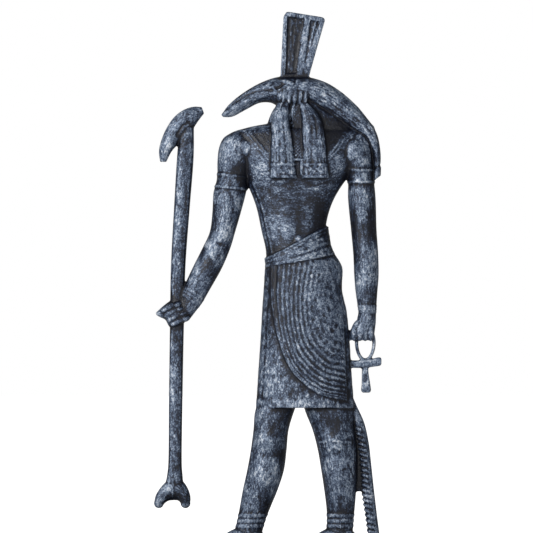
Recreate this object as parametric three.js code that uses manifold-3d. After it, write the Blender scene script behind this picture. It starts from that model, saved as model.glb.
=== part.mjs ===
// Cast statuette of a striding Egyptian god with the head of a long-snouted, square-eared animal.
// One hand grips a tall forked staff, the other an ankh. The figure is one casting on a low plinth.
// Millimetres, +Z up, the front faces -Y, and the origin is under the middle of the plinth.
import * as THREE from 'three';
import { mergeVertices } from 'three/addons/utils/BufferGeometryUtils.js';
import { ParametricGeometry } from 'three/addons/geometries/ParametricGeometry.js';
import Module from 'manifold-3d';

const wasm = await Module();
wasm.setup();

// Plinth.
const PLINTH_LENGTH = 120;
const PLINTH_DEPTH = 56;
const PLINTH_HEIGHT = 10;
const PLINTH_CHAMFER = 1.5;

// Heights of the figure's landmarks above the underside of the plinth.
const SOLE_Z = PLINTH_HEIGHT;
const ANKLE_Z = 24;
const HEM_Z = 81.3;
const CROWN_Z = 246;
const EAR_TOP_Z = 279;

// Carving: how far each kind of relief stands proud of what it lies on.
const BAND_PROUD = 0.7;
const SASH_PROUD = 1.7;
const SASH_FOLD_PROUD = 0.5;
const WRAP_PROUD = 0.8;
const PLEAT_COUNT = 9;
const PLEAT_PROUD = 0.7;
const WRAP_STEPS = 7;
const STRAND_PROUD = 0.5;
const STRANDS = 3;
const LAPPET_BAND_PROUD = 0.5;
const COLLAR_PROUD = 0.5;
const POCKET_DEPTH = 1.0;

// Staff.
const STAFF_Y = -3;
const STAFF_FOOT_X = -48;
const STAFF_FOOT_Z = 45;

// Tail rope.
const ROPE_PITCH = 3.6;
const ROPE_WAVE = 0.35;

const FULL_TURN = 2 * Math.PI;
const MERGE_DISTANCE = 1e-4;
const SEARCH_STEPS = 30;

// Turns a closed geometry into a solid, with its faces pointing out.
function solid(geometry) {
  const bare = geometry.clone();
  bare.deleteAttribute('normal');
  bare.deleteAttribute('uv');
  const merged = mergeVertices(bare, MERGE_DISTANCE);
  const points = merged.attributes.position.array;
  const corner = (i) => new THREE.Vector3().fromArray(points, 3 * i);
  const triangles = [];
  let volume = 0;
  for (let i = 0; i < merged.index.count; i += 3) {
    const [a, b, c] = merged.index.array.slice(i, i + 3);
    if (a === b || b === c || c === a) continue;
    triangles.push([a, b, c]);
    volume += corner(a).dot(corner(b).cross(corner(c)));
  }
  const outward = volume > 0 ? triangles : triangles.map(([a, b, c]) => [a, c, b]);
  return new wasm.Manifold(new wasm.Mesh({
    numProp: 3,
    vertProperties: new Float32Array(points),
    triVerts: new Uint32Array(outward.flat()),
  }));
}

// One solid of all the pieces.
function join(pieces) {
  return pieces.reduce((whole, piece) => whole.add(piece));
}

// Metal fills the small pockets that joined forms enclose, so only the outer skin is kept.
function withoutPockets(whole) {
  return join(whole.decompose().filter((shell) => shell.volume() > 0));
}

// Each row is a function of the angle round the form. The first and last rows are single points.
function tube(rows, sides) {
  const last = rows.length - 1;
  const place = (u, v, target) => target.copy(rows[Math.round(v * last)](u * FULL_TURN));
  return solid(new ParametricGeometry(place, sides, last));
}

// A level station: height, left and right outline, half depth, and where its middle lies in depth.
function level(z, left, right, depth, y = 0) {
  return { left: new THREE.Vector3(left, y, z), right: new THREE.Vector3(right, y, z), depth };
}

// A slanted station: its two outline points as x and z, half depth, and where its middle lies.
function slant(ax, az, bx, bz, depth, y = 0) {
  return { left: new THREE.Vector3(ax, y, az), right: new THREE.Vector3(bx, y, bz), depth };
}

function mirrored(stations, x) {
  const flip = (point) => new THREE.Vector3(2 * x - point.x, point.y, point.z);
  return stations.map(({ left, right, depth }) => ({ left: flip(left), right: flip(right), depth }));
}

// A smooth skin through stations: a point at an angle round it and a share along it. Angle 0 is on
// the right outline and a quarter turn is at the back. A squareness of 2 gives ellipses.
function skin(stations, squareness = 2) {
  const left = new THREE.CatmullRomCurve3(stations.map((station) => station.left));
  const right = new THREE.CatmullRomCurve3(stations.map((station) => station.right));
  const depth = new THREE.CatmullRomCurve3(
    stations.map((station, i) => new THREE.Vector3(station.depth, i, 0)),
  );
  const bulge = (value) => Math.sign(value) * Math.abs(value) ** (2 / squareness);
  const middle = (t) => left.getPoint(t).add(right.getPoint(t)).multiplyScalar(0.5);
  const point = (angle, t, proud = 0) => {
    const across = right.getPoint(t).sub(left.getPoint(t)).multiplyScalar(0.5);
    across.setLength(across.length() + proud);
    const place = middle(t).addScaledVector(across, bulge(Math.cos(angle)));
    place.y += (depth.getPoint(t).x + proud) * bulge(Math.sin(angle));
    return place;
  };
  return { point, middle };
}

function shareOf(edge, angle) {
  return typeof edge === 'function' ? edge(angle) : edge;
}

// A skin whose front swells in soft mounds.
function swollen(form, mounds) {
  const point = (angle, t, proud = 0) => {
    const { x, z } = form.point(angle, t);
    const front = Math.max(0, -Math.sin(angle));
    const swell = mounds.reduce((sum, mound) => sum + mound.proud * Math.exp(
      -(((x - mound.x) / mound.halfWidth) ** 2) - ((z - mound.z) / mound.halfHeight) ** 2,
    ), 0);
    return form.point(angle, t, proud + front * swell);
  };
  return { point, middle: form.middle };
}

// A closed solid of a skin. Each band is a raised stretch: where it starts and ends along the form,
// which may vary with the angle, and how far it stands proud.
function filled(form, sides, steps, bands = []) {
  const stations = [];
  const near = (edge) => shareOf(edge, Math.PI / 2);
  for (let i = 0; i <= steps; i += 1) {
    const t = i / steps;
    const inBand = bands.some(({ from, to }) => t > near(from) - 0.01 && t < near(to) + 0.01);
    if (!inBand) stations.push({ edge: t, proud: 0 });
  }
  for (const { from, to, proud } of bands) {
    stations.push({ edge: from, proud: 0 }, { edge: from, proud });
    stations.push({ edge: to, proud }, { edge: to, proud: 0 });
  }
  const ordered = stations.sort((p, q) => near(p.edge) - near(q.edge));
  const rows = ordered.map(({ edge, proud }) => (
    (angle) => form.point(angle, shareOf(edge, angle), proud)
  ));
  const [first, last] = [ordered[0], ordered[ordered.length - 1]];
  return tube([() => form.middle(near(first.edge)), ...rows, () => form.middle(near(last.edge))], sides);
}

// A raised band round a form, as a solid of its own. Each tier runs between two edges.
function collar(form, tiers, sides) {
  const rows = [];
  for (const { from, to, proud } of tiers) {
    for (const edge of [from, to]) rows.push((angle) => form.point(angle, shareOf(edge, angle), proud));
  }
  const hub = (edge) => () => form.middle(shareOf(edge, Math.PI / 2));
  return tube([hub(tiers[0].from), ...rows, hub(tiers[tiers.length - 1].to)], sides);
}

// The share along a level form at which it reaches a height.
function shareAt(form, z) {
  let low = 0;
  let high = 1;
  const falls = form.middle(0).z > form.middle(1).z;
  for (let i = 0; i < SEARCH_STEPS; i += 1) {
    const t = (low + high) / 2;
    if ((form.middle(t).z > z) === falls) low = t;
    else high = t;
  }
  return (low + high) / 2;
}

// The point on the front of a level form at a place seen from the front.
function onFront(form, x, z) {
  const t = shareAt(form, z);
  const reach = form.point(0, t).x - form.middle(t).x;
  const offset = THREE.MathUtils.clamp((x - form.middle(t).x) / reach, -0.97, 0.97);
  return form.point(-Math.acos(offset), t);
}

// A raised line along a path of points on a surface, with its two lower edges sunk into the surface.
// A negative height gives the cutter for a groove.
function ridge(path, halfWidth, proud, facing = -1) {
  const sunk = -0.5 * proud;
  const rows = [() => path[0]];
  path.forEach((centre, i) => {
    const along = path[Math.min(i + 1, path.length - 1)].clone().sub(path[Math.max(i - 1, 0)]);
    const side = along.clone().cross(new THREE.Vector3(0, facing, 0)).normalize();
    const lift = side.clone().cross(along).normalize();
    const corners = [[0, proud], [1.2 * halfWidth, sunk], [-1.2 * halfWidth, sunk]];
    rows.push((angle) => {
      const [aside, up] = corners[Math.round((3 * angle) / FULL_TURN) % 3];
      return centre.clone().addScaledVector(side, aside).addScaledVector(lift, up);
    });
  });
  rows.push(() => path[path.length - 1]);
  return tube(rows, 3);
}

// A flat outline seen from the front, pushed through in depth between two values of y.
function slab(outline, front, back) {
  const shape = new THREE.Shape(outline.map(([x, z]) => new THREE.Vector2(x, z)));
  const geometry = new THREE.ExtrudeGeometry(shape, { depth: back - front, bevelEnabled: false });
  geometry.rotateX(Math.PI / 2);
  geometry.translate(0, back, 0);
  return solid(geometry);
}

// An ellipsoid: its middle, its half sizes, and its turn about the depth axis.
function ball([x, y, z], [rx, ry, rz], turn = 0, fine = false) {
  const geometry = fine ? new THREE.SphereGeometry(1, 8, 6) : new THREE.SphereGeometry(1, 6, 4);
  geometry.scale(rx, ry, rz);
  geometry.rotateY(turn);
  geometry.translate(x, y, z);
  return solid(geometry);
}

function smoothPath(points, steps) {
  const curve = new THREE.SplineCurve(points.map(([x, z]) => new THREE.Vector2(x, z)));
  return curve.getPoints(steps).map((point) => [point.x, point.y]);
}

// Torso, frontal, with the shoulders' slope at the top and the hips at the foot.
const torso = skin([
  level(223.5, 1, 34, 5),
  level(221, -11.5, 42.5, 7.5),
  level(217.8, -19.5, 47.5, 9.2),
  level(211, -20.5, 49, 10.6),
  level(203, -15.2, 45.5, 11),
  level(193, -10.8, 37, 10.4),
  level(182, -6.5, 31, 9.6),
  level(169, -3.6, 28.4, 9.4),
  level(160, -1.6, 31, 10),
  level(153, -1.4, 34, 10.6),
]);

const chest = swollen(torso, [
  { x: 1.5, z: 204, halfWidth: 11, halfHeight: 8.5, proud: 1.8 },
  { x: 29, z: 204, halfWidth: 11, halfHeight: 8.5, proud: 1.8 },
]);

function makeTorso() {
  const navel = ball([14, -9.6, 165], [1.1, 1.2, 1.1]);
  const collarLines = [
    [[-9.5, 219.5], [-4.5, 213], [2, 205.5]],
    [[-12.5, 218], [-7, 210.5], [1, 202]],
    [[34.5, 217], [31.5, 212], [28, 206.5]],
    [[37.5, 215], [33.5, 209], [28, 202.5]],
  ];
  const necklace = collarLines.map((line) => {
    const path = smoothPath(line, 3).map(([x, z]) => onFront(chest, x, z));
    return ridge(path, 0.8, COLLAR_PROUD);
  });
  return join([filled(chest, 16, 11), ...necklace]).subtract(navel);
}

// Arm that reaches down to the staff.
const staffArm = skin([
  level(218.8, -18.5, -10, 4.2),
  level(216, -22.7, -8.2, 6.6),
  level(211, -25, -7.3, 7.9),
  level(204, -25.8, -8.3, 8),
  level(195, -25.9, -10.5, 7.2),
  level(189, -27.7, -11.4, 6.9, -0.4),
  level(179, -28.3, -14, 6.6, -1.2),
  level(169, -29.6, -16.9, 6.2, -2),
  level(161, -33.2, -19.3, 6.1, -2.6),
  level(151, -38.2, -23.5, 5.9, -3),
  level(141, -42.8, -29.1, 5, -3.2),
  level(134, -45.5, -33.2, 4.5, -3.1),
  level(125.5, -48, -39.5, 4, STAFF_Y),
]);

// Arm that hangs at the other side.
const ankhArm = skin([
  level(218, 40.5, 48.5, 4.5),
  level(213, 36.8, 51, 7),
  level(205, 36, 52, 8),
  level(196, 39.3, 52.4, 7.1),
  level(186, 39.5, 53.3, 6.8, -0.2),
  level(170, 41, 53.8, 6.3, -0.5),
  level(158, 42.1, 54.6, 6.2, -0.9),
  level(147, 42.6, 54.8, 6, -1.1),
  level(138, 43.4, 54.1, 5, -1.3),
  level(128, 45, 53.5, 4.5, -1.5),
]);

const ARM_SIDES = 10;

// A band between two heights of a level form. The tilt lifts it at the right and drops it at the left.
function bandAt(form, low, high, proud = BAND_PROUD, tilt = 0) {
  const edge = (z) => (angle) => shareAt(form, z + tilt * Math.cos(angle));
  return { from: edge(high), to: edge(low), proud };
}

function makeArms() {
  const staffArmBands = [
    bandAt(staffArm, 190.5, 196, BAND_PROUD, 0.6),
    bandAt(staffArm, 140.4, 142.2, BAND_PROUD, 4),
    bandAt(staffArm, 136, 137.8, BAND_PROUD, 4),
  ];
  const ankhArmBands = [[192.5, 199], [131.5, 132.8], [128.6, 129.9]].map(([low, high]) => (
    bandAt(ankhArm, low, high)
  ));
  return filled(staffArm, ARM_SIDES, 12, staffArmBands).add(filled(ankhArm, ARM_SIDES, 9, ankhArmBands));
}

// Fist on the staff: a palm that narrows to the thumb's tip, and four fingers over the shaft.
function makeStaffHand() {
  const palm = skin([
    slant(-56.6, 128.6, -56.2, 127.4, 1.1, STAFF_Y),
    slant(-54.8, 130.3, -54.4, 126.4, 2.3, STAFF_Y),
    slant(-52.2, 132.6, -51.8, 125.1, 3.8, STAFF_Y),
    slant(-48.8, 134.8, -49.6, 121.6, 4.8, STAFF_Y),
    slant(-44.8, 135, -46, 121.2, 5, STAFF_Y),
    slant(-40.6, 134, -42.6, 123.4, 4.4, STAFF_Y),
    slant(-37.6, 132.4, -39.4, 127, 3, STAFF_Y),
  ]);
  const fingers = [0, 1, 2, 3].map((i) => (
    ball([-50.4 + 1.9 * i, STAFF_Y - 3.9, 131.2 - 2.3 * i], [3.7, 2, 1.5], -0.5)
  ));
  return join([filled(palm, ARM_SIDES, 7), ...fingers]);
}

// Closed hand round the loop of the ankh.
function makeAnkhHand() {
  const hand = skin([
    level(130, 44.9, 53.5, 4.4, -1.5),
    level(124, 43.5, 53.4, 4.8, -1.7),
    level(119, 40.1, 52.8, 4.8, -1.8),
    level(114.9, 40.2, 52.4, 3.8, -1.8),
  ]);
  const fingers = [0, 1, 2, 3].map((i) => ball([42.6 + 2.8 * i, -5.2, 118.4], [1.5, 1.7, 3.5]));
  const thumb = ball([43.2, -3.6, 121], [1.5, 2.3, 4.2], 0.35);
  return join([filled(hand, ARM_SIDES, 4), thumb, ...fingers]);
}

// Ankh: a drawn-out loop through the hand, two arms and a stem.
const ANKH_Y = -1.8;
const ANKH_CENTRE_X = 48.1;

function makeAnkh() {
  const loopHalfWidth = 4.7;
  const loopTop = 121;
  const loopFoot = 105;
  const taper = 0.15;
  const wire = 0.95;
  const loop = (t) => {
    const turn = t * FULL_TURN;
    const height = (1 + Math.cos(turn)) / 2;
    const reach = loopHalfWidth * Math.sin(turn) * (1 - taper * (1 - height));
    return new THREE.Vector3(ANKH_CENTRE_X + reach, ANKH_Y, loopFoot + (loopTop - loopFoot) * height);
  };
  const ring = new ParametricGeometry((u, v, target) => {
    const ahead = loop(v + 0.01).sub(loop(v - 0.01)).normalize();
    const side = new THREE.Vector3(-ahead.z, 0, ahead.x);
    target.copy(loop(v)).addScaledVector(side, wire * Math.cos(u * FULL_TURN));
    target.y += 1.5 * wire * Math.sin(u * FULL_TURN);
  }, 5, 16);
  const cross = [
    [39.5, 104.9], [46.2, 104.9], [48, 106], [49.8, 105.3], [55.5, 106.5], [56.2, 105.9], [56.2, 102.8],
    [55.6, 102.2], [49.7, 101.3], [49.9, 97.5], [50.9, 91], [50.9, 89.2], [50.4, 88.7], [46.6, 88.7],
    [46.1, 89.2], [46.4, 101], [39.5, 101.1],
  ];
  return solid(ring).add(slab(cross, ANKH_Y - 1.7, ANKH_Y + 1.7));
}

// Kilt: a plain under layer, a pleated wrap over its front, and a wide sash that falls to one side.
const kilt = skin([
  level(158.5, -0.4, 32.4, 9.8),
  level(155, -1.4, 34.9, 11.2),
  level(151, -2, 36.7, 12),
  level(140, -2.7, 36.6, 12.3),
  level(129, -3.5, 38.9, 12.6),
  level(113, -4.4, 40.4, 12.9),
  level(97, -5.5, 41.4, 13.1),
  level(HEM_Z, -6.5, 42.6, 13.3),
]);
const KILT_SIDES = 22;

const wrapEdge = [[1, 154.5], [1, 135], [5, 114], [11.5, 99.5], [24.5, 88.5], [39, 85]];
const innerPleat = [[28, 155], [30.5, 149], [32.6, 143], [34.6, 137], [36.2, 131], [37.4, 125]];

function pleatPath(share, steps) {
  const outer = smoothPath(wrapEdge, steps);
  const inner = smoothPath(innerPleat, steps);
  return outer.map(([x, z], i) => [
    THREE.MathUtils.lerp(x, inner[i][0], share),
    THREE.MathUtils.lerp(z, inner[i][1], share),
  ]);
}

// The wrap as a thick sheet: its front face rises and falls across the pleats, its back is sunk.
function makeWrap() {
  const columns = 2 * PLEAT_COUNT;
  const sunk = new THREE.Vector3(0, 3, 0);
  const paths = [];
  for (let column = 0; column <= columns; column += 1) {
    const crest = column % 2 ? 0 : PLEAT_PROUD;
    const path = pleatPath(column / columns, WRAP_STEPS);
    const lifted = {
      middle: kilt.middle,
      point: (angle, t) => kilt.point(angle, t, WRAP_PROUD + crest),
    };
    paths.push(path.map(([x, z]) => onFront(lifted, x, z)));
  }
  const sides = 2 * paths.length;
  const ring = (step) => (angle) => {
    const i = Math.round((angle / FULL_TURN) * sides) % sides;
    if (i < paths.length) return paths[i][step];
    return paths[sides - 1 - i][step].clone().add(sunk);
  };
  const hub = (step) => () => paths[PLEAT_COUNT][step].clone().add(sunk);
  const rows = [hub(0)];
  for (let step = 0; step <= WRAP_STEPS; step += 1) rows.push(ring(step));
  rows.push(hub(WRAP_STEPS));
  return tube(rows, sides);
}

function makeKilt() {
  const hem = bandAt(kilt, HEM_Z + 0.1, HEM_Z + 2.2, 0.35);
  return filled(kilt, KILT_SIDES, 6, [hem]).add(makeWrap());
}

// The body under the sash, from the waist to below the hips.
const kiltAndWaist = skin([
  level(176, -2.8, 26.9, 9.3),
  level(170, -1.7, 27.9, 9.6),
  level(164, -0.6, 28.9, 10.1),
  level(158, -0.1, 31.2, 11),
  level(152, -0.3, 34.2, 11.9),
  level(147, -0.5, 35, 12.1),
]);

// Sash: a wide upper turn over a flatter lower one. Both edges rise towards the right hip.
function makeSash() {
  const edge = (mean, rise) => (angle) => shareAt(kiltAndWaist, mean + rise * Math.cos(angle));
  const fold = edge(158.4, 4.6);
  return collar(kiltAndWaist, [
    { from: edge(164.1, 7.9), to: fold, proud: SASH_PROUD + SASH_FOLD_PROUD },
    { from: fold, to: edge(154.4, 3.2), proud: SASH_PROUD },
  ], KILT_SIDES);
}

// Legs, striding towards the left.
const leadingLeg = skin([
  level(88, -3, 16, 9.2),
  level(80, -6.8, 12.8, 9.9),
  level(70, -7.8, 9.8, 9.4),
  level(60, -9.1, 8.8, 9),
  level(50, -10.9, 7.5, 9.1),
  level(40, -13.1, 4.3, 8.1),
  level(31, -14.7, 0.6, 6.7),
  level(ANKLE_Z, -16, -2.1, 6),
  level(17, -18, -3.6, 6.1),
  level(SOLE_Z, -19.5, -3.6, 6.3),
]);
const trailingLeg = skin([
  level(88, 16, 41, 9.2),
  level(80, 17.9, 42.2, 9.9),
  level(70, 21.8, 42.8, 9.3),
  level(60, 24.4, 44, 9.1),
  level(50, 26.1, 44.2, 9.1),
  level(40, 27.6, 43.6, 7.9),
  level(31, 28.7, 42.9, 6.6),
  level(ANKLE_Z, 29, 42.2, 6),
  level(17, 28.2, 41.9, 6.1),
  level(SOLE_Z, 27.2, 42.2, 6.3),
]);
const LEG_SIDES = 12;

function makeLeg(form, kneeX) {
  const anklets = [22.5, 25.6].map((z) => bandAt(form, z, z + 1.8));
  const kneeAndShin = swollen(form, [
    { x: kneeX, z: 64, halfWidth: 5.5, halfHeight: 4.5, proud: 1.3 },
    { x: kneeX, z: 46, halfWidth: 4, halfHeight: 10, proud: 0.7 },
  ]);
  return filled(kneeAndShin, LEG_SIDES, 10, anklets);
}

// Foot: sole, instep and heel in one form, and five toes side by side.
const FOOT_LENGTH = 38;
const FOOT_HALF_WIDTH = 7.6;

function makeFoot(heelX) {
  const under = SOLE_Z - 1;
  const foot = skin([
    slant(heelX + 0.6, 18, heelX + 1, under, 4.6),
    slant(heelX - 4, 21.5, heelX - 4, under, 6.2),
    slant(heelX - 13, 21, heelX - 13, under, 6.6),
    slant(heelX - 21, 17, heelX - 21, under, 7.2),
    slant(heelX - 28, 14.4, heelX - 28, under, FOOT_HALF_WIDTH),
    slant(heelX - 32.5, 13.4, heelX - 32.5, under, FOOT_HALF_WIDTH),
  ], 2.6);
  const toes = [0, 1, 2, 3, 4].map((i) => {
    const length = 5.4 - 0.7 * i;
    const tipX = heelX - FOOT_LENGTH + 1.2 * i;
    return ball([tipX + length, -6.2 + 3.1 * i, SOLE_Z + 1.5], [length, 1.8 - 0.08 * i, 2.3]);
  });
  return join([filled(foot, 10, 6), ...toes]);
}

// Tail: a rope of two strands that leaves the kilt, held to the calf by a thin web.
function makeTail() {
  const stations = [
    level(90, 35.6, 40.4, 3, 2),
    level(82, 38.9, 43.8, 3.5, 2),
    level(74, 41.8, 47.4, 3.7, 1.5),
    level(64, 43.8, 49.7, 3.6, 1),
    level(52, 45.2, 51.1, 3.4, 0.7),
    level(40, 46.3, 52.4, 3.3, 0.5),
    level(25, 48.5, 54.2, 3.3, 0.5),
    level(SOLE_Z - 2, 50.5, 56.5, 3.5, 0.5),
  ];
  const tail = skin(stations);
  const length = stations[0].left.z - stations[stations.length - 1].left.z;
  const steps = Math.round((2 * length) / ROPE_PITCH);
  const twisted = {
    middle: tail.middle,
    point: (angle, t) => {
      const wave = Math.cos(2 * angle + (t * length * FULL_TURN) / (2 * ROPE_PITCH));
      return tail.point(angle, t, ROPE_WAVE * wave);
    },
  };
  const web = skin([
    level(84, 34, 43, 2.4, 1.5),
    level(64, 40, 47, 2.2, 0.8),
    level(50, 41, 48, 2, 0.6),
    level(39.5, 41.5, 48.4, 1.8, 0.5),
  ]);
  return join([filled(twisted, 6, steps), filled(web, 6, 3)]);
}

// Staff: a shaft with a canine crest at the top and a fork at the foot.
function makeStaff() {
  const shaft = skin([
    level(221, -44.6, -37.5, 3.4, STAFF_Y),
    level(207, -45.9, -37.6, 3.6, STAFF_Y),
    level(182, -47.4, -39.5, 3.5, STAFF_Y),
    level(152, -49, -41.7, 3.3, STAFF_Y),
    level(122, -49.5, -42.5, 3.2, STAFF_Y),
    level(85, -50, -43.2, 3.1, STAFF_Y),
    level(52, -50.4, -43.5, 3.1, STAFF_Y),
    level(STAFF_FOOT_Z, -51, -43, 3.3, STAFF_Y),
  ]);
  const crest = skin([
    slant(-54.4, 204, -51.3, 204, 2.2, STAFF_Y),
    slant(-55, 209.5, -48.6, 209.2, 3.1, STAFF_Y),
    slant(-53.8, 214.8, -46, 212.2, 3.5, STAFF_Y),
    slant(-51, 221.2, -43, 215.5, 3.8, STAFF_Y),
    slant(-47, 226.8, -39.5, 218, 3.8, STAFF_Y),
    slant(-42, 230.3, -36.6, 222.5, 3.5, STAFF_Y),
    slant(-37.5, 231.6, -34.6, 225.4, 2.9, STAFF_Y),
    slant(-33.6, 231.4, -32.4, 228.2, 2, STAFF_Y),
  ]);
  const prong = [
    slant(STAFF_FOOT_X + 0.5, 47.5, STAFF_FOOT_X + 0.5, 34.9, 3.5, STAFF_Y),
    slant(-51, 45, -49.7, 34.5, 3.7, STAFF_Y),
    slant(-55, 41.8, -51.9, 33.2, 3.7, STAFF_Y),
    slant(-57.4, 36.8, -53.4, 31.8, 3.4, STAFF_Y),
    slant(-57.4, 32.8, -54.8, 30.6, 2.2, STAFF_Y),
  ];
  const prongs = [prong, mirrored(prong, STAFF_FOOT_X)].map((half) => filled(skin(half), 8, 5));
  return join([filled(shaft, 8, 6), filled(crest, 8, 8), ...prongs]);
}

// Head: a long down-curved snout. On both sides a cheek, the wig's gathered folds, a mouth and an eye.
function makeHead() {
  const skull = skin([
    slant(-23.9, 227.6, -22.9, 226.4, 1.2),
    slant(-21, 231.7, -18.5, 226.6, 2.4),
    slant(-15.2, 236.9, -11.8, 230, 3.4),
    slant(-6.8, 242.3, -4.7, 233.5, 4.8),
    slant(0, 245.3, 0.8, 233.6, 6.4),
    slant(5, 246.6, 5.2, 231.6, 8),
    slant(12, 247, 12, 230.5, 9),
    slant(17.5, 246, 17.5, 233.5, 6.5),
  ]);
  const pieces = [filled(skull, 12, 10)];
  for (const side of [-1, 1]) {
    pieces.push(ball([6.4, 7.2 * side, 236.8], [3.2, 2.4, 4.4], 0.12, true));
    for (const x of [10.6, 14.2, 17.8]) {
      pieces.push(ball([x, 7.6 * side, 236.6], [1.9, 2.4, 4.9], 0.12));
    }
  }
  const cuts = [];
  const brow = [[2, 241.3], [5, 243.6], [9.5, 242.8]];
  const mouth = [[-21.5, 229.8], [-16, 234], [-9.5, 237.6], [-3.5, 239.6], [0.5, 240]];
  for (const side of [-1, 1]) {
    const onSkull = ([x, z]) => skullSide(skull, x, z, side);
    pieces.push(ridge(smoothPath(brow, 3).map(onSkull), 0.8, 0.8, side));
    cuts.push(ridge(smoothPath(mouth, 5).map(onSkull), 0.8, -0.9, side));
    cuts.push(ball(onSkull([6, 241]).toArray(), [2.1, 0.9, 0.9], -0.35));
  }
  return join(pieces).subtract(join(cuts));
}

// The point on either side of a form that runs from left to right, at a place seen from the side.
function skullSide(form, x, z, side) {
  let low = 0;
  let high = 1;
  for (let i = 0; i < SEARCH_STEPS; i += 1) {
    const t = (low + high) / 2;
    if (form.middle(t).x < x) low = t;
    else high = t;
  }
  const top = form.point(Math.PI, low);
  const foot = form.point(0, low);
  const offset = THREE.MathUtils.clamp((z - foot.z) / (top.z - foot.z), 0.05, 0.95);
  return form.point(side * Math.acos(1 - 2 * offset), low);
}

// Ears: one tall upright slab with a slanted top, its panels sunk between raised ribs.
function makeEars() {
  const halfDepth = 3.5;
  const outline = [
    [5.6, CROWN_Z - 3], [5.7, 252], [7.2, 277], [8.2, 278.6], [10, EAR_TOP_Z],
    [27.8, 276.2], [28.6, 275.4], [28.4, 273.6], [19.6, 246.4], [19, CROWN_Z - 3],
  ];
  const frontPanel = [[8, 249], [9.4, 276.2], [17.8, 275.8], [13.2, 249]];
  const backPanel = [[16.9, 250.5], [20.6, 274.4], [26, 273.6]];
  const flutes = [[10.3, 11.8], [11.2, 14.2], [12.1, 16.4]];
  const centreRib = [17.8, 23.2];
  const cuts = [];
  const ribs = [];
  for (const side of [-1, 1]) {
    const floor = side * (halfDepth - POCKET_DEPTH);
    const [near, far] = side < 0 ? [-2 * halfDepth, floor] : [floor, 2 * halfDepth];
    cuts.push(slab(frontPanel, near, far), slab(backPanel, near, far));
    for (const [footX, topX] of [...flutes, centreRib]) {
      const [footZ, topZ] = footX === centreRib[0] ? [254, 273.6] : [249.5, 275.6];
      const path = [new THREE.Vector3(footX, floor, footZ), new THREE.Vector3(topX, floor, topZ)];
      ribs.push(ridge(path, 0.5, 0.7, side));
    }
  }
  return join([slab(outline, -halfDepth, halfDepth).subtract(join(cuts)), ...ribs]);
}

// Wig: the mass over neck and shoulders, two lappets on the chest and a long one at the back.
const lappets = [
  skin([
    level(233.5, 4.6, 10.3, 3, -5.6),
    level(226, 2, 9.6, 3.3, -8.2),
    level(215, 1.5, 11.2, 3.3, -10),
    level(205, 1.2, 12.6, 3.3, -10.6),
    level(195.8, 1, 13.4, 3.3, -10.4),
  ], 3),
  skin([
    level(233.5, 15, 19.2, 3, -5.6),
    level(226, 16.6, 25.4, 3.3, -8.2),
    level(215, 16.9, 27.8, 3.3, -10),
    level(205, 17, 28.6, 3.3, -10.6),
    level(195.8, 17.1, 29.6, 3.3, -10.4),
  ], 3),
];

function makeWig() {
  const mass = skin([
    level(238, 7, 23, 6.5),
    level(233, 4, 27.5, 7.4),
    level(228, 1, 35, 8),
    level(222.5, -0.9, 42, 8.4, 0.6),
    level(215, -2, 46.5, 8.6, 1),
  ]);
  const mane = skin([
    slant(14, 246.4, 12, 236, 8.2),
    slant(20.3, 246.1, 17, 235, 8.5),
    slant(29.9, 242.9, 24.5, 230.8, 7.9),
    slant(39.6, 236.1, 33.2, 225.1, 6.7),
    slant(48.9, 226, 43.3, 219.4, 5.7),
    slant(53.8, 218.2, 49.2, 214.2, 5.1),
    slant(55.7, 208.6, 52, 207, 4.7),
    slant(55.6, 197, 52.4, 194.6, 4.2),
  ], 2.3);
  const throat = [232, 222, 212, 203, 195].map((z) => {
    const front = onFront(chest, 14.3, Math.min(z, 221));
    return new THREE.Vector3(14.3, front.y, z);
  });
  const neckStrip = ridge(throat, 3.4, 1.4);
  const drapes = lappets.map((lappet) => {
    const sides = 4 * STRANDS;
    const locks = (angle) => {
      const onFrontHalf = angle > Math.PI;
      return onFrontHalf ? 0.5 * STRAND_PROUD * (1 - Math.cos((sides / 2) * angle)) : 0;
    };
    const combed = {
      middle: lappet.middle,
      point: (angle, t, proud) => lappet.point(angle, t, locks(angle) + proud),
    };
    const endBands = [[0.86, 0.9], [0.95, 1]].map(([from, to]) => ({ from, to, proud: LAPPET_BAND_PROUD }));
    return filled(combed, sides, 4, endBands);
  });
  const maneTip = { from: 0.94, to: 1, proud: LAPPET_BAND_PROUD };
  return join([filled(mass, 12, 5), filled(mane, 10, 10, [maneTip]), neckStrip, ...drapes]);
}

// The plinth: a low block with a chamfer round its top edge.
function makePlinth() {
  const x = PLINTH_LENGTH / 2 - PLINTH_CHAMFER;
  const y = PLINTH_DEPTH / 2 - PLINTH_CHAMFER;
  const corners = [[-x, -y], [x, -y], [x, y], [-x, y]];
  const shape = new THREE.Shape(corners.map((corner) => new THREE.Vector2(...corner)));
  return new THREE.ExtrudeGeometry(shape, {
    depth: PLINTH_HEIGHT - 2 * PLINTH_CHAMFER,
    bevelEnabled: true,
    bevelSegments: 1,
    bevelSize: PLINTH_CHAMFER,
    bevelThickness: PLINTH_CHAMFER,
  }).translate(0, 0, PLINTH_CHAMFER);
}

function toMesh(name, manifold, material) {
  const { vertProperties, triVerts, numProp } = manifold.getMesh();
  const geometry = new THREE.BufferGeometry();
  const positions = new Float32Array((vertProperties.length / numProp) * 3);
  for (let i = 0; i < positions.length / 3; i += 1) {
    for (let axis = 0; axis < 3; axis += 1) positions[3 * i + axis] = vertProperties[numProp * i + axis];
  }
  geometry.setAttribute('position', new THREE.BufferAttribute(positions, 3));
  geometry.setIndex(new THREE.BufferAttribute(new Uint32Array(triVerts), 1));
  geometry.computeVertexNormals();
  const mesh = new THREE.Mesh(geometry, material);
  mesh.name = name;
  return mesh;
}

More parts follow.
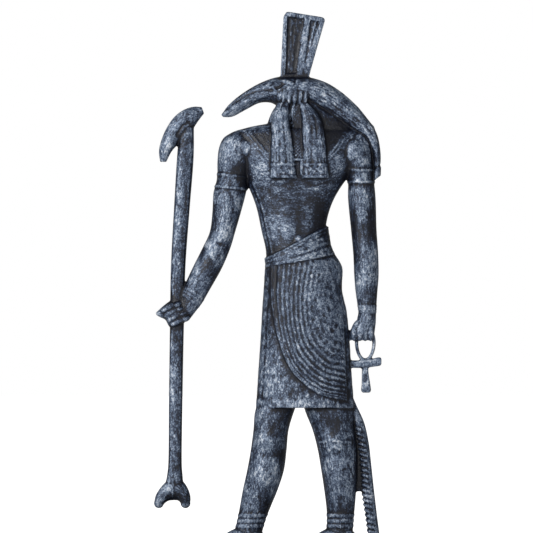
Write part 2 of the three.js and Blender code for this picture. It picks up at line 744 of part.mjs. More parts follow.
function makeFigure() {
  const cast = join([
    makeTorso(), makeArms(), makeStaffHand(), makeAnkhHand(), makeAnkh(), makeKilt(), makeSash(),
    makeLeg(leadingLeg, -1), makeLeg(trailingLeg, 33), makeFoot(-3), makeFoot(43),
    makeTail(), makeStaff(), makeHead(), makeEars(), makeWig(),
  ]);
  const below = new THREE.BoxGeometry(2 * PLINTH_LENGTH, 2 * PLINTH_DEPTH, 2 * SOLE_Z);
  return withoutPockets(cast.subtract(solid(below)));
}

const blackenedMetal = new THREE.MeshStandardMaterial({ color: 0x3a4150, roughness: 0.5, metalness: 0.7 });
const plinthMetal = new THREE.MeshStandardMaterial({ color: 0x22252d, roughness: 0.45, metalness: 0.6 });

const statue = new THREE.Group();
statue.add(toMesh('figure', makeFigure(), blackenedMetal));
statue.add(toMesh('plinth', solid(makePlinth()), plinthMetal));

export default statue;
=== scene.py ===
import math

import bmesh
import bpy
import numpy as np
from mathutils import Matrix, Vector, noise
from mathutils.bvhtree import BVHTree


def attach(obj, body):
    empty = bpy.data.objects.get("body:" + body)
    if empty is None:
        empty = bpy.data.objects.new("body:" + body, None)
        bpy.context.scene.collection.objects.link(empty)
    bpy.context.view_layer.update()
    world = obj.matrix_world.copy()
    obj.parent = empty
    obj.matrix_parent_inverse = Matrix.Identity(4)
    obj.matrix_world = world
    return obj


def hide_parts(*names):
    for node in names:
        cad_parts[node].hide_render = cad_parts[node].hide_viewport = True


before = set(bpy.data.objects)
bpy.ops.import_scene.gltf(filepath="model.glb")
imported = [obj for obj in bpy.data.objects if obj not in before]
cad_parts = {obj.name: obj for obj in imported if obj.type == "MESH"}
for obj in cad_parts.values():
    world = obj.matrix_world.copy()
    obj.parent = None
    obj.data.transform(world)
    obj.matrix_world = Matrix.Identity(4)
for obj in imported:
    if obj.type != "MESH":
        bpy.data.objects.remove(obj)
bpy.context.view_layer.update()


# Torso. The casting's body from the hips to the slope of the shoulders, frontal, a slim waist under a broad
# chest. Every limb is shaped the same way: a ball is wrapped on a skin that runs smoothly through
# stations, and the rings of the ball take the carving. All shaping is in millimetres.
MM = 0.001
FULL_TURN = 2 * math.pi
COARSE = 1.0
CAP_ROWS = 4

casting = bmesh.new()
grain_of_forms = []


def curve(points):
    """A smooth line through points, to be asked for at shares from 0 to 1."""
    knots = np.array(points, float)
    knots = np.vstack([2 * knots[0] - knots[1], knots, 2 * knots[-1] - knots[-2]])
    gap = np.maximum(np.sum(np.diff(knots, axis=0) ** 2, axis=1) ** 0.25, 1e-4)
    spans = len(points) - 1

    def at(share):
        place = np.clip(share, 0, 1) * spans
        i = np.minimum(place.astype(int), spans - 1)
        w = (place - i)[:, None]
        a, b, c, d = (knots[i + k] for k in range(4))
        g0, g1, g2 = (gap[i + k][:, None] for k in range(3))
        leave = ((b - a) / g0 - (c - a) / (g0 + g1) + (c - b) / g1) * g1
        arrive = ((c - b) / g1 - (d - b) / (g1 + g2) + (d - c) / g2) * g1
        return (b + leave * w + (3 * (c - b) - 2 * leave - arrive) * w ** 2
                + (2 * (b - c) + leave + arrive) * w ** 3)

    return at


def level(z, left, right, depth, y=0.0):
    """A level station: height, left and right outline, half depth, place of its middle in depth."""
    return (left, y, z), (right, y, z), depth


def slant(ax, az, bx, bz, depth, y=0.0):
    """A slanted station: its two outline points seen from the front, half depth, middle in depth."""
    return (ax, y, az), (bx, y, bz), depth


class Skin:
    """Angle 0 is on the right outline, a quarter turn is at the back, and squareness 2 is an ellipse."""

    def __init__(self, stations, squareness=2.0):
        self.left = curve([left for left, _, _ in stations])
        self.right = curve([right for _, right, _ in stations])
        self.depth = curve([(depth, i) for i, (_, _, depth) in enumerate(stations)])
        self.power = 2.0 / squareness
        shares = np.linspace(0, 1, 400)
        self.heights = self.middle(shares)[:, 2]
        self.shares = shares
        steps = np.linalg.norm(np.diff(self.middle(shares), axis=0), axis=1)
        self.lengths = np.concatenate([[0], np.cumsum(steps)])
        self.girth = float(np.mean(np.linalg.norm(self.right(shares) - self.left(shares), axis=1))) / 2

    def middle(self, share):
        return (self.left(share) + self.right(share)) / 2

    def bulge(self, value):
        return np.sign(value) * np.abs(value) ** self.power

    def point(self, angle, share, proud=0.0):
        across = (self.right(share) - self.left(share)) / 2
        reach = np.linalg.norm(across, axis=1)
        across = across * ((reach + proud) / np.maximum(reach, 1e-6))[:, None]
        place = self.middle(share) + across * self.bulge(np.cos(angle))[:, None]
        place[:, 1] += (self.depth(share)[:, 0] + proud) * self.bulge(np.sin(angle))
        return place

    def share_at(self, z):
        order = np.argsort(self.heights)
        return np.interp(z, self.heights[order], self.shares[order])

    def front(self, x, z, proud=0.0):
        """The place on the front at x and z."""
        share = self.share_at(z)
        middle = self.middle(share)
        reach = self.right(share)[:, 0] - middle[:, 0] + proud
        offset = np.clip((x - middle[:, 0]) / reach, -0.985, 0.985)
        place = self.point(-np.arccos(offset), share, proud)
        return place


def cast(form, places, grain):
    """Puts a form's points in their places, closes its seam and adds it to the casting."""
    layer = form.verts.layers.float_vector.new("grain")
    for v, co, along in zip(form.verts, places, grain):
        v.co = co
        v[layer] = along
    bmesh.ops.remove_doubles(form, verts=form.verts, dist=1e-4)
    kept = np.array([v[layer] for v in form.verts])
    kept[:, 2] += 61.0 * len(grain_of_forms)
    grain_of_forms.append(kept)
    mesh = bpy.data.meshes.new("form")
    form.to_mesh(mesh)
    form.free()
    casting.from_mesh(mesh)
    bpy.data.meshes.remove(mesh)


def blank(columns, rows):
    """A flat net of points to be wrapped, with the places of its points as shares of it."""
    form = bmesh.new()
    bmesh.ops.create_grid(form, x_segments=columns, y_segments=rows, size=1)
    net = np.array([v.co for v in form.verts])
    return form, (net[:, 0] + 1) / 2, (net[:, 1] + 1) / 2


def wrap(skin, sides, rows, relief=None, crosswise=False):
    """Wraps a skin. relief gives how far each point stands proud, from its angle, share, x and z.
    The brush goes along the form, or crosswise over it."""
    sides = max(8, int(sides * COARSE))
    rows = max(8, int(rows * COARSE)) + 2 * CAP_ROWS
    form, across, down = blank(sides, rows)
    angle = FULL_TURN * across
    ring = np.rint(down * rows)
    share = np.clip((ring - CAP_ROWS) / (rows - 2 * CAP_ROWS), 0, 1)
    spread = np.clip(np.minimum(ring, rows - ring) / CAP_ROWS, 0, 1)
    bare = skin.point(angle, share)
    proud = relief(angle, share, bare[:, 0], bare[:, 2]) if relief else np.zeros(len(angle))
    middle = skin.middle(share)
    places = middle + (skin.point(angle, share, proud) - middle) * spread[:, None]
    along = np.interp(share, skin.shares, skin.lengths)
    if crosswise:
        cast(form, places, places[:, [2, 1, 0]])
    else:
        cast(form, places, np.stack([skin.girth * np.cos(angle), skin.girth * np.sin(angle), along], 1))


def hump(x, z, at_x, at_z, half_x, half_z):
    """A soft mound, 1 at its middle."""
    return np.exp(-((x - at_x) / half_x) ** 2 - ((z - at_z) / half_z) ** 2)


def window(value, low, high, soft):
    """1 between low and high, with soft edges."""
    rise = np.clip((value - low) / soft + 0.5, 0, 1)
    fall = np.clip((high - value) / soft + 0.5, 0, 1)
    return rise * rise * (3 - 2 * rise) * fall * fall * (3 - 2 * fall)


def along_line(x, z, points, width):
    """1 on the line through points, fading to each side over width."""
    nearest = np.full(len(x), 1e9)
    for (ax, az), (bx, bz) in zip(points, points[1:]):
        dx, dz = bx - ax, bz - az
        share = np.clip(((x - ax) * dx + (z - az) * dz) / (dx * dx + dz * dz), 0, 1)
        nearest = np.minimum(nearest, np.hypot(x - ax - share * dx, z - az - share * dz))
    return np.exp(-(nearest / width) ** 2)


def uneven(*place):
    """A soft random field between -1 and 1 over two or three axes."""
    return np.array([noise.noise((*at, 0.5)[:3]) for at in zip(*(axis.tolist() for axis in place))])


def facing(angle):
    """1 where a form faces the front, 0 from its sides round the back."""
    return np.clip(-np.sin(angle), 0, 1)


torso = Skin([
    level(223.5, 1, 34, 5),
    level(221, -11.5, 42.5, 7.5),
    level(217.8, -19.5, 47.5, 9.2),
    level(211, -20.5, 49, 10.6),
    level(203, -15.2, 45.5, 11),
    level(193, -10.8, 37, 10.4),
    level(182, -6.5, 31, 9.6),
    level(169, -3.6, 28.4, 9.4),
    level(160, -1.6, 31, 10),
    level(153, -1.4, 34, 10.6),
])
BREASTBONE_X = 14.7
collar_lines = [
    [(-9.8, 219.2), (-4.5, 213), (1, 206)],
    [(-11.2, 218.6), (-5.6, 212), (0.6, 204.8)],
    [(36.6, 217), (33, 211.5), (28.6, 206.4)],
    [(37.8, 216), (34, 210.4), (29, 205.2)],
]


def chest_carving(angle, share, x, z):
    front = facing(angle)
    mounds = 1.8 * (hump(x, z, 1.5, 204, 11, 8.5) + hump(x, z, 29, 204, 11, 8.5))
    from_bone = np.abs(x - BREASTBONE_X)
    under_breast = 192.4 + 0.04 * (from_bone - 9) ** 2
    mounds -= 0.2 * np.exp(-((z - under_breast) / 1.3) ** 2) * window(from_bone, 2, 17, 4)
    mounds -= 0.2 * hump(x, z, BREASTBONE_X, 176, 1.6, 9)
    mounds += 0.5 * hump(x, z, 9.5, 172, 3.2, 7) + 0.4 * hump(x, z, 19.5, 172, 3.2, 7)
    mounds += 0.9 * hump(x, z, 14.8, 165.3, 1.5, 1.5)
    flank = x - torso.left(share)[:, 0]
    belly = window(z, 150, 194, 6)
    mounds += belly * (0.45 * np.exp(-((flank - 2.9) / 0.5) ** 2) - 0.4 * np.exp(-((flank - 1.9) / 0.5) ** 2))
    for line in collar_lines:
        mounds += 0.4 * along_line(x, z, line, 0.42)
    beads = np.cos(FULL_TURN * x / 1.7) * np.cos(FULL_TURN * z / 1.7)
    collar = window(z, 206, 219.5, 1) * window(from_bone, 0, 23 - 1.15 * (219.5 - z), 1.5)
    mounds += 0.22 * beads * collar
    return front * mounds


wrap(torso, 260, 180, chest_carving, crosswise=True)


# Arms. Both arms hang from rounded shoulders. Each wears a flat armlet with a raised rim above and below,
# and a wristlet of three thin rings. The left one reaches down to the staff.
BAND_PROUD = 0.26
RIM_PROUD = 0.24

staff_arm = Skin([
    level(218.8, -18.5, -10, 4.2),
    level(216, -22.7, -8.2, 6.6),
    level(211, -25, -7.3, 7.9),
    level(204, -25.8, -8.3, 8),
    level(195, -25.9, -10.5, 7.2),
    level(189, -27.7, -11.4, 6.9, -0.4),
    level(179, -28.3, -14, 6.6, -1.2),
    level(169, -29.6, -16.9, 6.2, -2),
    level(161, -33.2, -19.3, 6.1, -2.6),
    level(151, -38.2, -23.5, 5.9, -3),
    level(141, -42.8, -29.1, 5, -3.2),
    level(134, -45.5, -33.2, 4.5, -3.1),
    level(125.5, -48, -39.5, 4, -3),
])
ankh_arm = Skin([
    level(218, 40.5, 48.5, 4.5),
    level(213, 36.8, 51, 7),
    level(205, 36, 52, 8),
    level(196, 39.3, 52.4, 7.1),
    level(186, 39.5, 53.3, 6.8, -0.2),
    level(170, 41, 53.8, 6.3, -0.5),
    level(158, 42.1, 54.6, 6.2, -0.9),
    level(147, 42.6, 54.8, 6, -1.1),
    level(138, 43.4, 54.1, 5, -1.3),
    level(128, 45, 53.5, 4.5, -1.5),
])


def bands(height, armlet, wristlet):
    """The flat armlet with its two rims, and the wristlet's three rings."""
    low, high = armlet
    proud = BAND_PROUD * window(height, low, high, 0.5)
    for rim in (low + 0.5, high - 0.5):
        proud += RIM_PROUD * window(height, rim - 0.5, rim + 0.5, 0.5)
    first, last = wristlet
    step = (last - first) / 3
    for i in range(3):
        middle = first + (i + 0.5) * step
        proud += 0.8 * BAND_PROUD * window(height, middle - 0.33 * step, middle + 0.33 * step, 0.5)
    return proud


def staff_arm_carving(angle, share, x, z):
    tilt = np.interp(z, [135, 160, 190], [3.6, 2.4, 0.8])
    height = z + tilt * np.cos(angle)
    proud = bands(height, (190.6, 197.6), (134.2, 139.2))
    proud += facing(angle) * (0.5 * hump(x, z, -19.5, 208, 5, 6) + 0.4 * hump(x, z, -21.5, 181, 3, 8))
    proud += facing(angle) * (0.5 * hump(x, z, -30.5, 152, 3.5, 8) - 0.4 * hump(x, z, -24.5, 163, 2, 1.5))
    return proud


def ankh_arm_carving(angle, share, x, z):
    proud = bands(z, (193.4, 200.4), (128.2, 132.6))
    proud += facing(angle) * (0.6 * hump(x, z, 44, 208, 5, 6) + 0.4 * hump(x, z, 46.5, 181, 3, 8))
    return proud + facing(angle) * 0.45 * hump(x, z, 48.5, 150, 3, 9)


wrap(staff_arm, 110, 230, staff_arm_carving)
wrap(ankh_arm, 110, 220, ankh_arm_carving)


# Hands. Left fist: a palm that narrows to the thumb's tip, and four fingers curled over the staff.
# Right hand: fingers closed on the ankh's ring, the thumb beside them. Cast in one with what they hold.
STAFF_Y = -3.0


def ball(at, radii, turn=0.0, fine=32):
    """An ellipsoid turned about the depth axis."""
    form, across, down = blank(fine, fine // 2)
    angle, polar = FULL_TURN * across, math.pi * down
    x = radii[0] * np.cos(angle) * np.sin(polar)
    y = radii[1] * np.sin(angle) * np.sin(polar)
    z = radii[2] * np.cos(polar)
    c, s = math.cos(turn), math.sin(turn)
    places = np.stack([at[0] + c * x + s * z, at[1] + y, at[2] - s * x + c * z], 1)
    cast(form, places, np.stack([x, y, z], 1))


ball((-11, 0, 210.5), (9.5, 8.3, 7.5), 0.3, 64)
ball((42.6, 0, 208.5), (9, 9.1, 9), -0.2, 64)

staff_palm = Skin([
    slant(-56.6, 128.6, -56.2, 127.4, 1.1, STAFF_Y),
    slant(-54.8, 130.3, -54.4, 126.4, 2.3, STAFF_Y),
    slant(-52.2, 132.6, -51.8, 125.1, 3.8, STAFF_Y),
    slant(-48.8, 134.8, -49.6, 121.6, 4.8, STAFF_Y),
    slant(-44.8, 135, -46, 121.2, 5, STAFF_Y),
    slant(-40.6, 134, -42.6, 123.4, 4.4, STAFF_Y),
    slant(-37.6, 132.4, -39.4, 127, 3, STAFF_Y),
])
wrap(staff_palm, 72, 60)
for i in range(4):
    ball((-50.2 + 1.6 * i, STAFF_Y - 3.2, 131.2 - 2.3 * i), (4.3, 2.0, 1.6), -0.5)
    ball((-46.0 + 1.4 * i, STAFF_Y - 2.8, 132.6 - 2.3 * i), (2.6, 2.4, 1.6), -0.3)

ankh_palm = Skin([
    level(130, 44.9, 53.5, 4.4, -1.5),
    level(124, 43.5, 53.4, 4.8, -1.7),
    level(119, 40.1, 52.8, 4.8, -1.8),
    level(114.9, 40.2, 52.4, 3.8, -1.8),
])
wrap(ankh_palm, 72, 48)
for i in range(4):
    ball((42.6 + 2.7 * i, -4.75, 118.6), (1.7, 1.75, 4.2))
ball((43.2, -3.4, 120.8), (2.0, 2.6, 4.6), 0.35)


# Ankh. A drawn-out ring that runs into the closed hand, with two arms and a stem below it. The near arm
# touches the kilt. Flat bars with rounded edges, cast with the figure.
ANKH_X, ANKH_Y = 48.1, -1.8
WIRE = 0.95


def ring(sides=24, steps=96):
    form, across, down = blank(sides, steps)
    round_wire, turn = FULL_TURN * across, FULL_TURN * down
    height = (1 + np.cos(turn)) / 2
    out = WIRE * np.cos(round_wire)
    reach = (4.7 + out) * np.sin(turn) * (1 - 0.15 * (1 - height))
    places = np.stack([ANKH_X + reach, ANKH_Y + 1.5 * WIRE * np.sin(round_wire),
                       113 + (8 + out) * np.cos(turn)], 1)
    cast(form, places, np.stack([out, WIRE * np.sin(round_wire), 6 * turn], 1))


ring()


def bar(stations, squareness=4.0, sides=40, rows=40):
    wrap(Skin(stations, squareness), sides, rows)


bar([slant(39.5, 104.9, 39.5, 101.1, 1.7, ANKH_Y), slant(45, 104.9, 45, 101, 1.7, ANKH_Y),
     slant(48, 105.4, 48, 101, 1.8, ANKH_Y), slant(51.5, 105.7, 51.8, 101.6, 1.7, ANKH_Y),
     slant(55.4, 106.4, 55.7, 102.3, 1.7, ANKH_Y), slant(56.2, 105.8, 56.2, 103, 1.4, ANKH_Y)])
bar([level(104, 46.6, 49.7, 1.7, ANKH_Y), level(99, 46.4, 49.7, 1.7, ANKH_Y),
     level(93, 46.3, 50.6, 1.7, ANKH_Y), level(89.6, 46.1, 50.9, 1.7, ANKH_Y),
     level(88.7, 46.8, 50.3, 1.4, ANKH_Y)])


# Kilt. A plain under layer to above the knee, with a hem band. Over its front lies a wrap of curved pleats
# whose leading edge sweeps down to the right, and carries a double hem line.
HEM_Z = 81.3
WRAP_PROUD = 0.8
PLEAT_PROUD = 0.5

kilt = Skin([
    level(158.5, -0.4, 32.4, 9.8),
    level(155, -1.4, 34.9, 11.2),
    level(151, -2, 36.7, 12),
    level(140, -2.7, 36.6, 12.3),
    level(129, -3.5, 38.9, 12.6),
    level(113, -4.4, 40.4, 12.9),
    level(97, -5.5, 41.4, 13.1),
    level(HEM_Z, -6.5, 42.6, 13.3),
])
wrap_edge = curve([(1, 154.5), (1, 135), (5, 114), (11.5, 99.5), (24.5, 88.5), (39, 85)])
inner_pleat = curve([(28, 155), (30.5, 149), (32.6, 143), (34.6, 137), (36.2, 131), (37.4, 125)])


def kilt_carving(angle, share, x, z):
    hem = 0.12 * window(z, HEM_Z - 3, HEM_Z + 4, 1.5) + 0.1 * uneven(x / 1.6, z / 1.9)
    side_strip = x - kilt.left(share)[:, 0]
    seam = -0.3 * np.exp(-((side_strip - 2.6) / 0.5) ** 2) * window(z, HEM_Z + 3, 148, 2)
    return hem + facing(angle) ** 0.5 * seam


wrap(kilt, 300, 190, kilt_carving)


def pleat_height(from_edge, down):
    """Ridges evenly spaced at the top, gathered along the leading edge lower down."""
    gather = np.clip((down - 0.12) / 0.4, 0, 1)
    count = (1 - gather) * from_edge / 2.6 + gather * 8.6 * (np.sqrt(1 + from_edge / 7.4) - 1)
    ridge = (0.5 + 0.5 * np.cos(FULL_TURN * (count - 0.55))) ** 1.5
    hem = 0.5 + 0.5 * np.cos(FULL_TURN * (from_edge - 0.45) / 1.05)
    fade = 1 - 0.65 * np.clip((count - 6) / 3, 0, 1)
    return np.where(from_edge < 1.9, hem, fade * ridge)


def sheet(columns, steps, front_place, thickness):
    """A closed sheet: half of the net is its front and the other half is folded behind it."""
    form, across, down = blank(2 * columns, steps)
    index = np.rint(across * 2 * columns) % (2 * columns)
    ring = np.rint(down * steps)
    behind = index >= columns
    u = np.where(behind, 2 * columns - 1 - index, index) / (columns - 1)
    v_share = np.clip((ring - 1) / (steps - 2), 0, 1)
    places, grain = front_place(u, v_share)
    places[behind, 1] += thickness
    pole = (ring < 0.5) | (ring > steps - 0.5)
    places[pole] = front_place(np.full(int(pole.sum()), 0.5), v_share[pole])[0]
    places[pole, 1] += thickness / 2
    cast(form, places, grain)


def wrap_front(u, v_share):
    outer = wrap_edge(v_share)
    inner = inner_pleat(v_share)
    place = outer + (inner - outer) * u[:, None]
    width = np.linalg.norm(inner - outer, axis=1)
    patchy = 0.75 + 0.5 * uneven(place[:, 0] / 5, place[:, 1] / 7)
    proud = WRAP_PROUD + PLEAT_PROUD * patchy * pleat_height(u * width, v_share)
    proud += 0.2 * uneven(place[:, 0] / 1.5, place[:, 1] / 1.8) * np.clip(u * 1.6 - 0.1, 0, 1)
    fade = 1 - 0.85 * window(u, 0.86, 2, 0.26)
    return (kilt.front(place[:, 0], place[:, 1], proud * fade),
            np.stack([u * 34, np.zeros(len(u)), v_share * 85], 1))


sheet(int(240 * COARSE), int(260 * COARSE), wrap_front, 3.0)


# Sash. A cloth wound twice round the hips. Both edges rise to the right hip, where the upper turn stands
# out as a corner. It is cast over the kilt's top.
hips = Skin([
    level(176, -2.8, 26.9, 9.3),
    level(170, -1.7, 27.9, 9.6),
    level(164, -0.6, 28.9, 10.1),
    level(158, -0.1, 31.2, 11),
    level(152, -0.3, 34.2, 11.9),
    level(147, -0.5, 35, 12.1),
])
SASH_PROUD = 1.7


def sash_carving(angle, share, x, z):
    turn = np.cos(angle)
    top, fold, foot = 164.1 + 7.9 * turn, 158.4 + 4.6 * turn, 154.4 + 3.2 * turn
    proud = SASH_PROUD * window(z, foot, top, 0.6)
    proud += 0.25 * window(z, fold, top, 1.2) + 0.3 * window(z, top - 0.9, top, 0.5)
    share_down = (top - z) / (top - foot)
    proud += window(z, foot, top, 0.6) * 0.05 * np.cos(FULL_TURN * 5 * share_down + 2 * turn)
    proud += 0.14 * uneven(x / 2.6, share_down * 6)
    return proud - 1.2 * (1 - window(z, foot - 0.4, top + 0.4, 0.6))


wrap(hips, 260, 90, sash_carving, crosswise=True)


# Legs. Two legs in stride, both pointing left, with soft knees and shins and three thin rings at each
# ankle. The trailing knee has its kneecap cut in with a few strokes.
SOLE_Z = 10.0
leading_leg = Skin([
    level(88, -3, 16, 9.2),
    level(80, -6.8, 12.8, 9.9),
    level(70, -7.8, 9.8, 9.4),
    level(60, -9.1, 8.8, 9),
    level(50, -10.9, 7.5, 9.1),
    level(40, -13.1, 4.3, 8.1),
    level(31, -14.7, 0.6, 6.7),
    level(24, -16, -2.1, 6),
    level(17, -18, -3.6, 6.1),
    level(SOLE_Z, -19.5, -3.6, 6.3),
])
trailing_leg = Skin([
    level(88, 16, 41, 9.2),
    level(80, 17.9, 42.2, 9.9),
    level(70, 21.8, 42.8, 9.3),
    level(60, 24.4, 44, 9.1),
    level(50, 26.1, 44.2, 9.1),
    level(40, 27.6, 43.6, 7.9),
    level(31, 28.7, 42.9, 6.6),
    level(24, 29, 42.2, 6),
    level(17, 28.2, 41.9, 6.1),
    level(SOLE_Z, 27.2, 42.2, 6.3),
])
knee_strokes = [
    [(25.6, 64), (31, 65.2), (36, 64.4), (40.6, 64)],
    [(28, 62), (30, 60), (32.4, 61.6), (35.4, 60.4)],
    [(34.8, 50.4), (38.2, 52.4), (40.6, 48.6), (41.4, 45.4)],
]


def anklets(z):
    proud = np.zeros(len(z))
    for middle in (27.4, 24.7, 22.2):
        proud += 0.26 * window(z, middle - 0.75, middle + 0.75, 0.5)
    return proud


def leg_carving(knee_x, shin_x, strokes):
    def carve(angle, share, x, z):
        front = facing(angle)
        proud = front * (1.3 * hump(x, z, knee_x, 64, 5.5, 4.5) + 0.7 * hump(x, z, shin_x, 46, 3.4, 11))
        proud -= front * 0.2 * hump(x, z, knee_x, 57.5, 5, 1.8)
        for stroke in strokes:
            proud += front * 0.4 * along_line(x, z, stroke, 0.5)
        return proud + anklets(z)

    return carve


wrap(leading_leg, 130, 170, leg_carving(-0.5, -3.4, []))
wrap(trailing_leg, 130, 170, leg_carving(32.5, 34, knee_strokes))


# Feet. Bare feet flat on the plinth, toes to the left, each a single form with five toes and their nails.
FOOT_LENGTH = 38.0
FOOT_HALF_WIDTH = 7.6


def foot(heel_x):
    under = SOLE_Z - 1
    wrap(Skin([
        slant(heel_x + 0.6, 18, heel_x + 1, under, 4.6),
        slant(heel_x - 4, 21.5, heel_x - 4, under, 6.2),
        slant(heel_x - 13, 21, heel_x - 13, under, 6.6),
        slant(heel_x - 21, 17, heel_x - 21, under, 7.2),
        slant(heel_x - 28, 14.4, heel_x - 28, under, FOOT_HALF_WIDTH),
        slant(heel_x - 32.5, 13.4, heel_x - 32.5, under, FOOT_HALF_WIDTH),
    ], 2.6), 90, 70)
    for i in range(5):
        length = 5.4 - 0.7 * i
        tip_x = heel_x - FOOT_LENGTH + 1.2 * i
        at = Vector((tip_x + length, -6.2 + 3.1 * i, SOLE_Z + 1.5))
        ball(at, (length, 1.8 - 0.08 * i, 2.3))
        ball(at + Vector((-0.55 * length, 0, 1.55)), (0.28 * length, 1.1 - 0.06 * i, 0.55), 0.5, 16)


foot(-3.0)
foot(43.0)


# Tail. The ceremonial tail hangs from the kilt to the plinth: a twisted rope with a smooth strip along its
# outer side, held to the calf by a thin web of metal down to the middle of the shin.
ROPE_PITCH = 2.6
ROPE_PROUD = 0.38
tail = Skin([
    level(90, 35.6, 40.4, 3, 2),
    level(82, 38.9, 43.8, 3.5, 2),
    level(74, 41.8, 47.4, 3.7, 1.5),
    level(64, 43.8, 49.7, 3.6, 1),
    level(52, 45.2, 51.1, 3.4, 0.7),
    level(40, 46.3, 52.4, 3.3, 0.5),
    level(25, 48.5, 54.2, 3.3, 0.5),
    level(SOLE_Z - 2, 50.5, 56.5, 3.5, 0.5),
])


def tail_carving(angle, share, x, z):
    length = np.interp(share, tail.shares, tail.lengths)
    twist = np.cos(FULL_TURN * length / ROPE_PITCH - 1.5 * angle)
    smooth_strip = window(np.cos(angle), 0.42, 2, 0.3)
    rope = np.sign(twist) * np.abs(twist) ** 0.7
    return ROPE_PROUD * rope * (1 - smooth_strip) * window(z, 0, 72, 8) + 0.15 * smooth_strip


wrap(tail, 72, 420, tail_carving)
wrap(Skin([
    level(84, 34, 43, 2.4, 1.5),
    level(64, 40, 47, 2.2, 0.8),
    level(50, 41, 48, 2, 0.6),
    level(42, 41.6, 47.6, 1.9, 0.5),
    level(39.3, 42.6, 46.6, 1.4, 0.5),
]), 48, 60)


# Staff. A tall staff with a long-muzzled crest at the top and a fork of two lobes at the foot. The shaft is
# slightly flattened on its front. It hangs from the fist and ends above the plinth.
STAFF_FOOT_X = -48.0
shaft = Skin([
    level(221, -44.6, -37.5, 3.4, STAFF_Y),
    level(207, -45.9, -37.6, 3.6, STAFF_Y),
    level(182, -47.4, -39.5, 3.5, STAFF_Y),
    level(152, -49, -41.7, 3.3, STAFF_Y),
    level(122, -49.5, -42.5, 3.2, STAFF_Y),
    level(85, -50, -43.2, 3.1, STAFF_Y),
    level(52, -50.4, -43.5, 3.1, STAFF_Y),
    level(47, -51, -43.1, 3.3, STAFF_Y),
    level(43, -51.6, -43, 3.3, STAFF_Y),
    level(39, -50.6, -44.4, 2.6, STAFF_Y),
], 2.4)
crest = Skin([
    slant(-54.4, 204, -51.3, 204, 2.2, STAFF_Y),
    slant(-55, 209.5, -48.6, 209.2, 3.1, STAFF_Y),
    slant(-53.8, 214.8, -46, 212.2, 3.5, STAFF_Y),
    slant(-51, 221.2, -43, 215.5, 3.8, STAFF_Y),
    slant(-47, 226.8, -39.5, 218, 3.8, STAFF_Y),
    slant(-42, 230.3, -36.6, 222.5, 3.5, STAFF_Y),
    slant(-37.5, 231.6, -34.6, 225.4, 2.9, STAFF_Y),
    slant(-33.6, 231.4, -32.4, 228.2, 2, STAFF_Y),
])


def shaft_carving(angle, share, x, z):
    edge = np.abs(np.abs(np.cos(angle)) - 0.62)
    return 0.18 * np.exp(-(edge / 0.1) ** 2) * facing(angle)


def crest_carving(angle, share, x, z):
    cuts = along_line(x, z, [(-45.8, 217.4), (-43.6, 221.6), (-40.4, 223.6)], 0.8)
    return facing(angle) * (-0.55 * cuts - 0.4 * hump(x, z, -35.6, 229.4, 0.9, 0.9))


wrap(shaft, 56, 420, shaft_carving)
wrap(crest, 72, 110, crest_carving)
left_prong = [
    slant(-47.5, 47.5, -47.5, 35, 3.6, STAFF_Y),
    slant(-50.6, 45, -50.2, 34.7, 3.7, STAFF_Y),
    slant(-53.9, 41.7, -52, 33.5, 3.7, STAFF_Y),
    slant(-56.6, 37.4, -53.4, 32.2, 3.3, STAFF_Y),
    slant(-57.2, 34.8, -54.2, 31.6, 2.6, STAFF_Y),
]
right_prong = [
    slant(-47.5, 47.5, -47.5, 35, 3.6, STAFF_Y),
    slant(-43.4, 45, -45.4, 34.8, 3.7, STAFF_Y),
    slant(-40.7, 41.3, -44, 33.5, 3.7, STAFF_Y),
    slant(-39.3, 37.4, -43, 32.3, 3.3, STAFF_Y),
    slant(-39.1, 34.8, -42.5, 31.7, 2.6, STAFF_Y),
]
wrap(Skin(left_prong), 72, 60)
wrap(Skin(right_prong), 72, 60)
for lobe_x in (-55, -41.7):
    ball((lobe_x, STAFF_Y, 33.5), (2.5, 2.9, 2.5))
wrap(Skin([level(46, -48.2, -47.8, 3.8, STAFF_Y), level(36.5, -48.2, -47.8, 3.8, STAFF_Y)]), 16, 40)


# Head. A long down-curved snout in profile. On each side a mouth line, a slanted eye under a brow, a full
# cheek, and the wig's cloth gathered into folds behind it.
skull = Skin([
    slant(-23.9, 227.6, -22.9, 226.4, 1.2),
    slant(-21, 231.7, -18.5, 226.6, 2.4),
    slant(-15.2, 236.9, -11.8, 230, 3.4),
    slant(-6.8, 242.3, -4.7, 233.5, 4.8),
    slant(0, 245.3, 0.8, 233.6, 6.4),
    slant(5, 246.6, 5.2, 231.6, 8),
    slant(12, 247, 12, 230.5, 9),
    slant(17.5, 246, 17.5, 233.5, 6.5),
])
mouth = [(-22.5, 229.4), (-17.6, 233.6), (-12, 237), (-6, 239.4), (-1, 240.2), (1.5, 239.6)]
jaw = [(-21.4, 228.6), (-16, 232), (-9.5, 235.2), (-2, 237.2)]
brow = [(1.6, 241.4), (4.4, 244), (8.5, 244.4), (11.4, 243)]
eye = [(4.2, 240.6), (6.8, 242.6)]
eyelid = [(2.9, 239.6), (5.6, 240.2), (8.2, 242.2)]


def head_carving(angle, share, x, z):
    side = np.abs(np.sin(angle)) ** 0.5
    proud = 0.55 * along_line(x, z, jaw, 1.3) - 0.75 * along_line(x, z, mouth, 0.75)
    proud += 0.6 * along_line(x, z, brow, 0.7) - 0.9 * along_line(x, z, eye, 0.85)
    proud += 0.3 * along_line(x, z, eyelid, 0.4) - 0.5 * hump(x, z, -21.4, 230.4, 0.7, 0.4)
    return side * proud


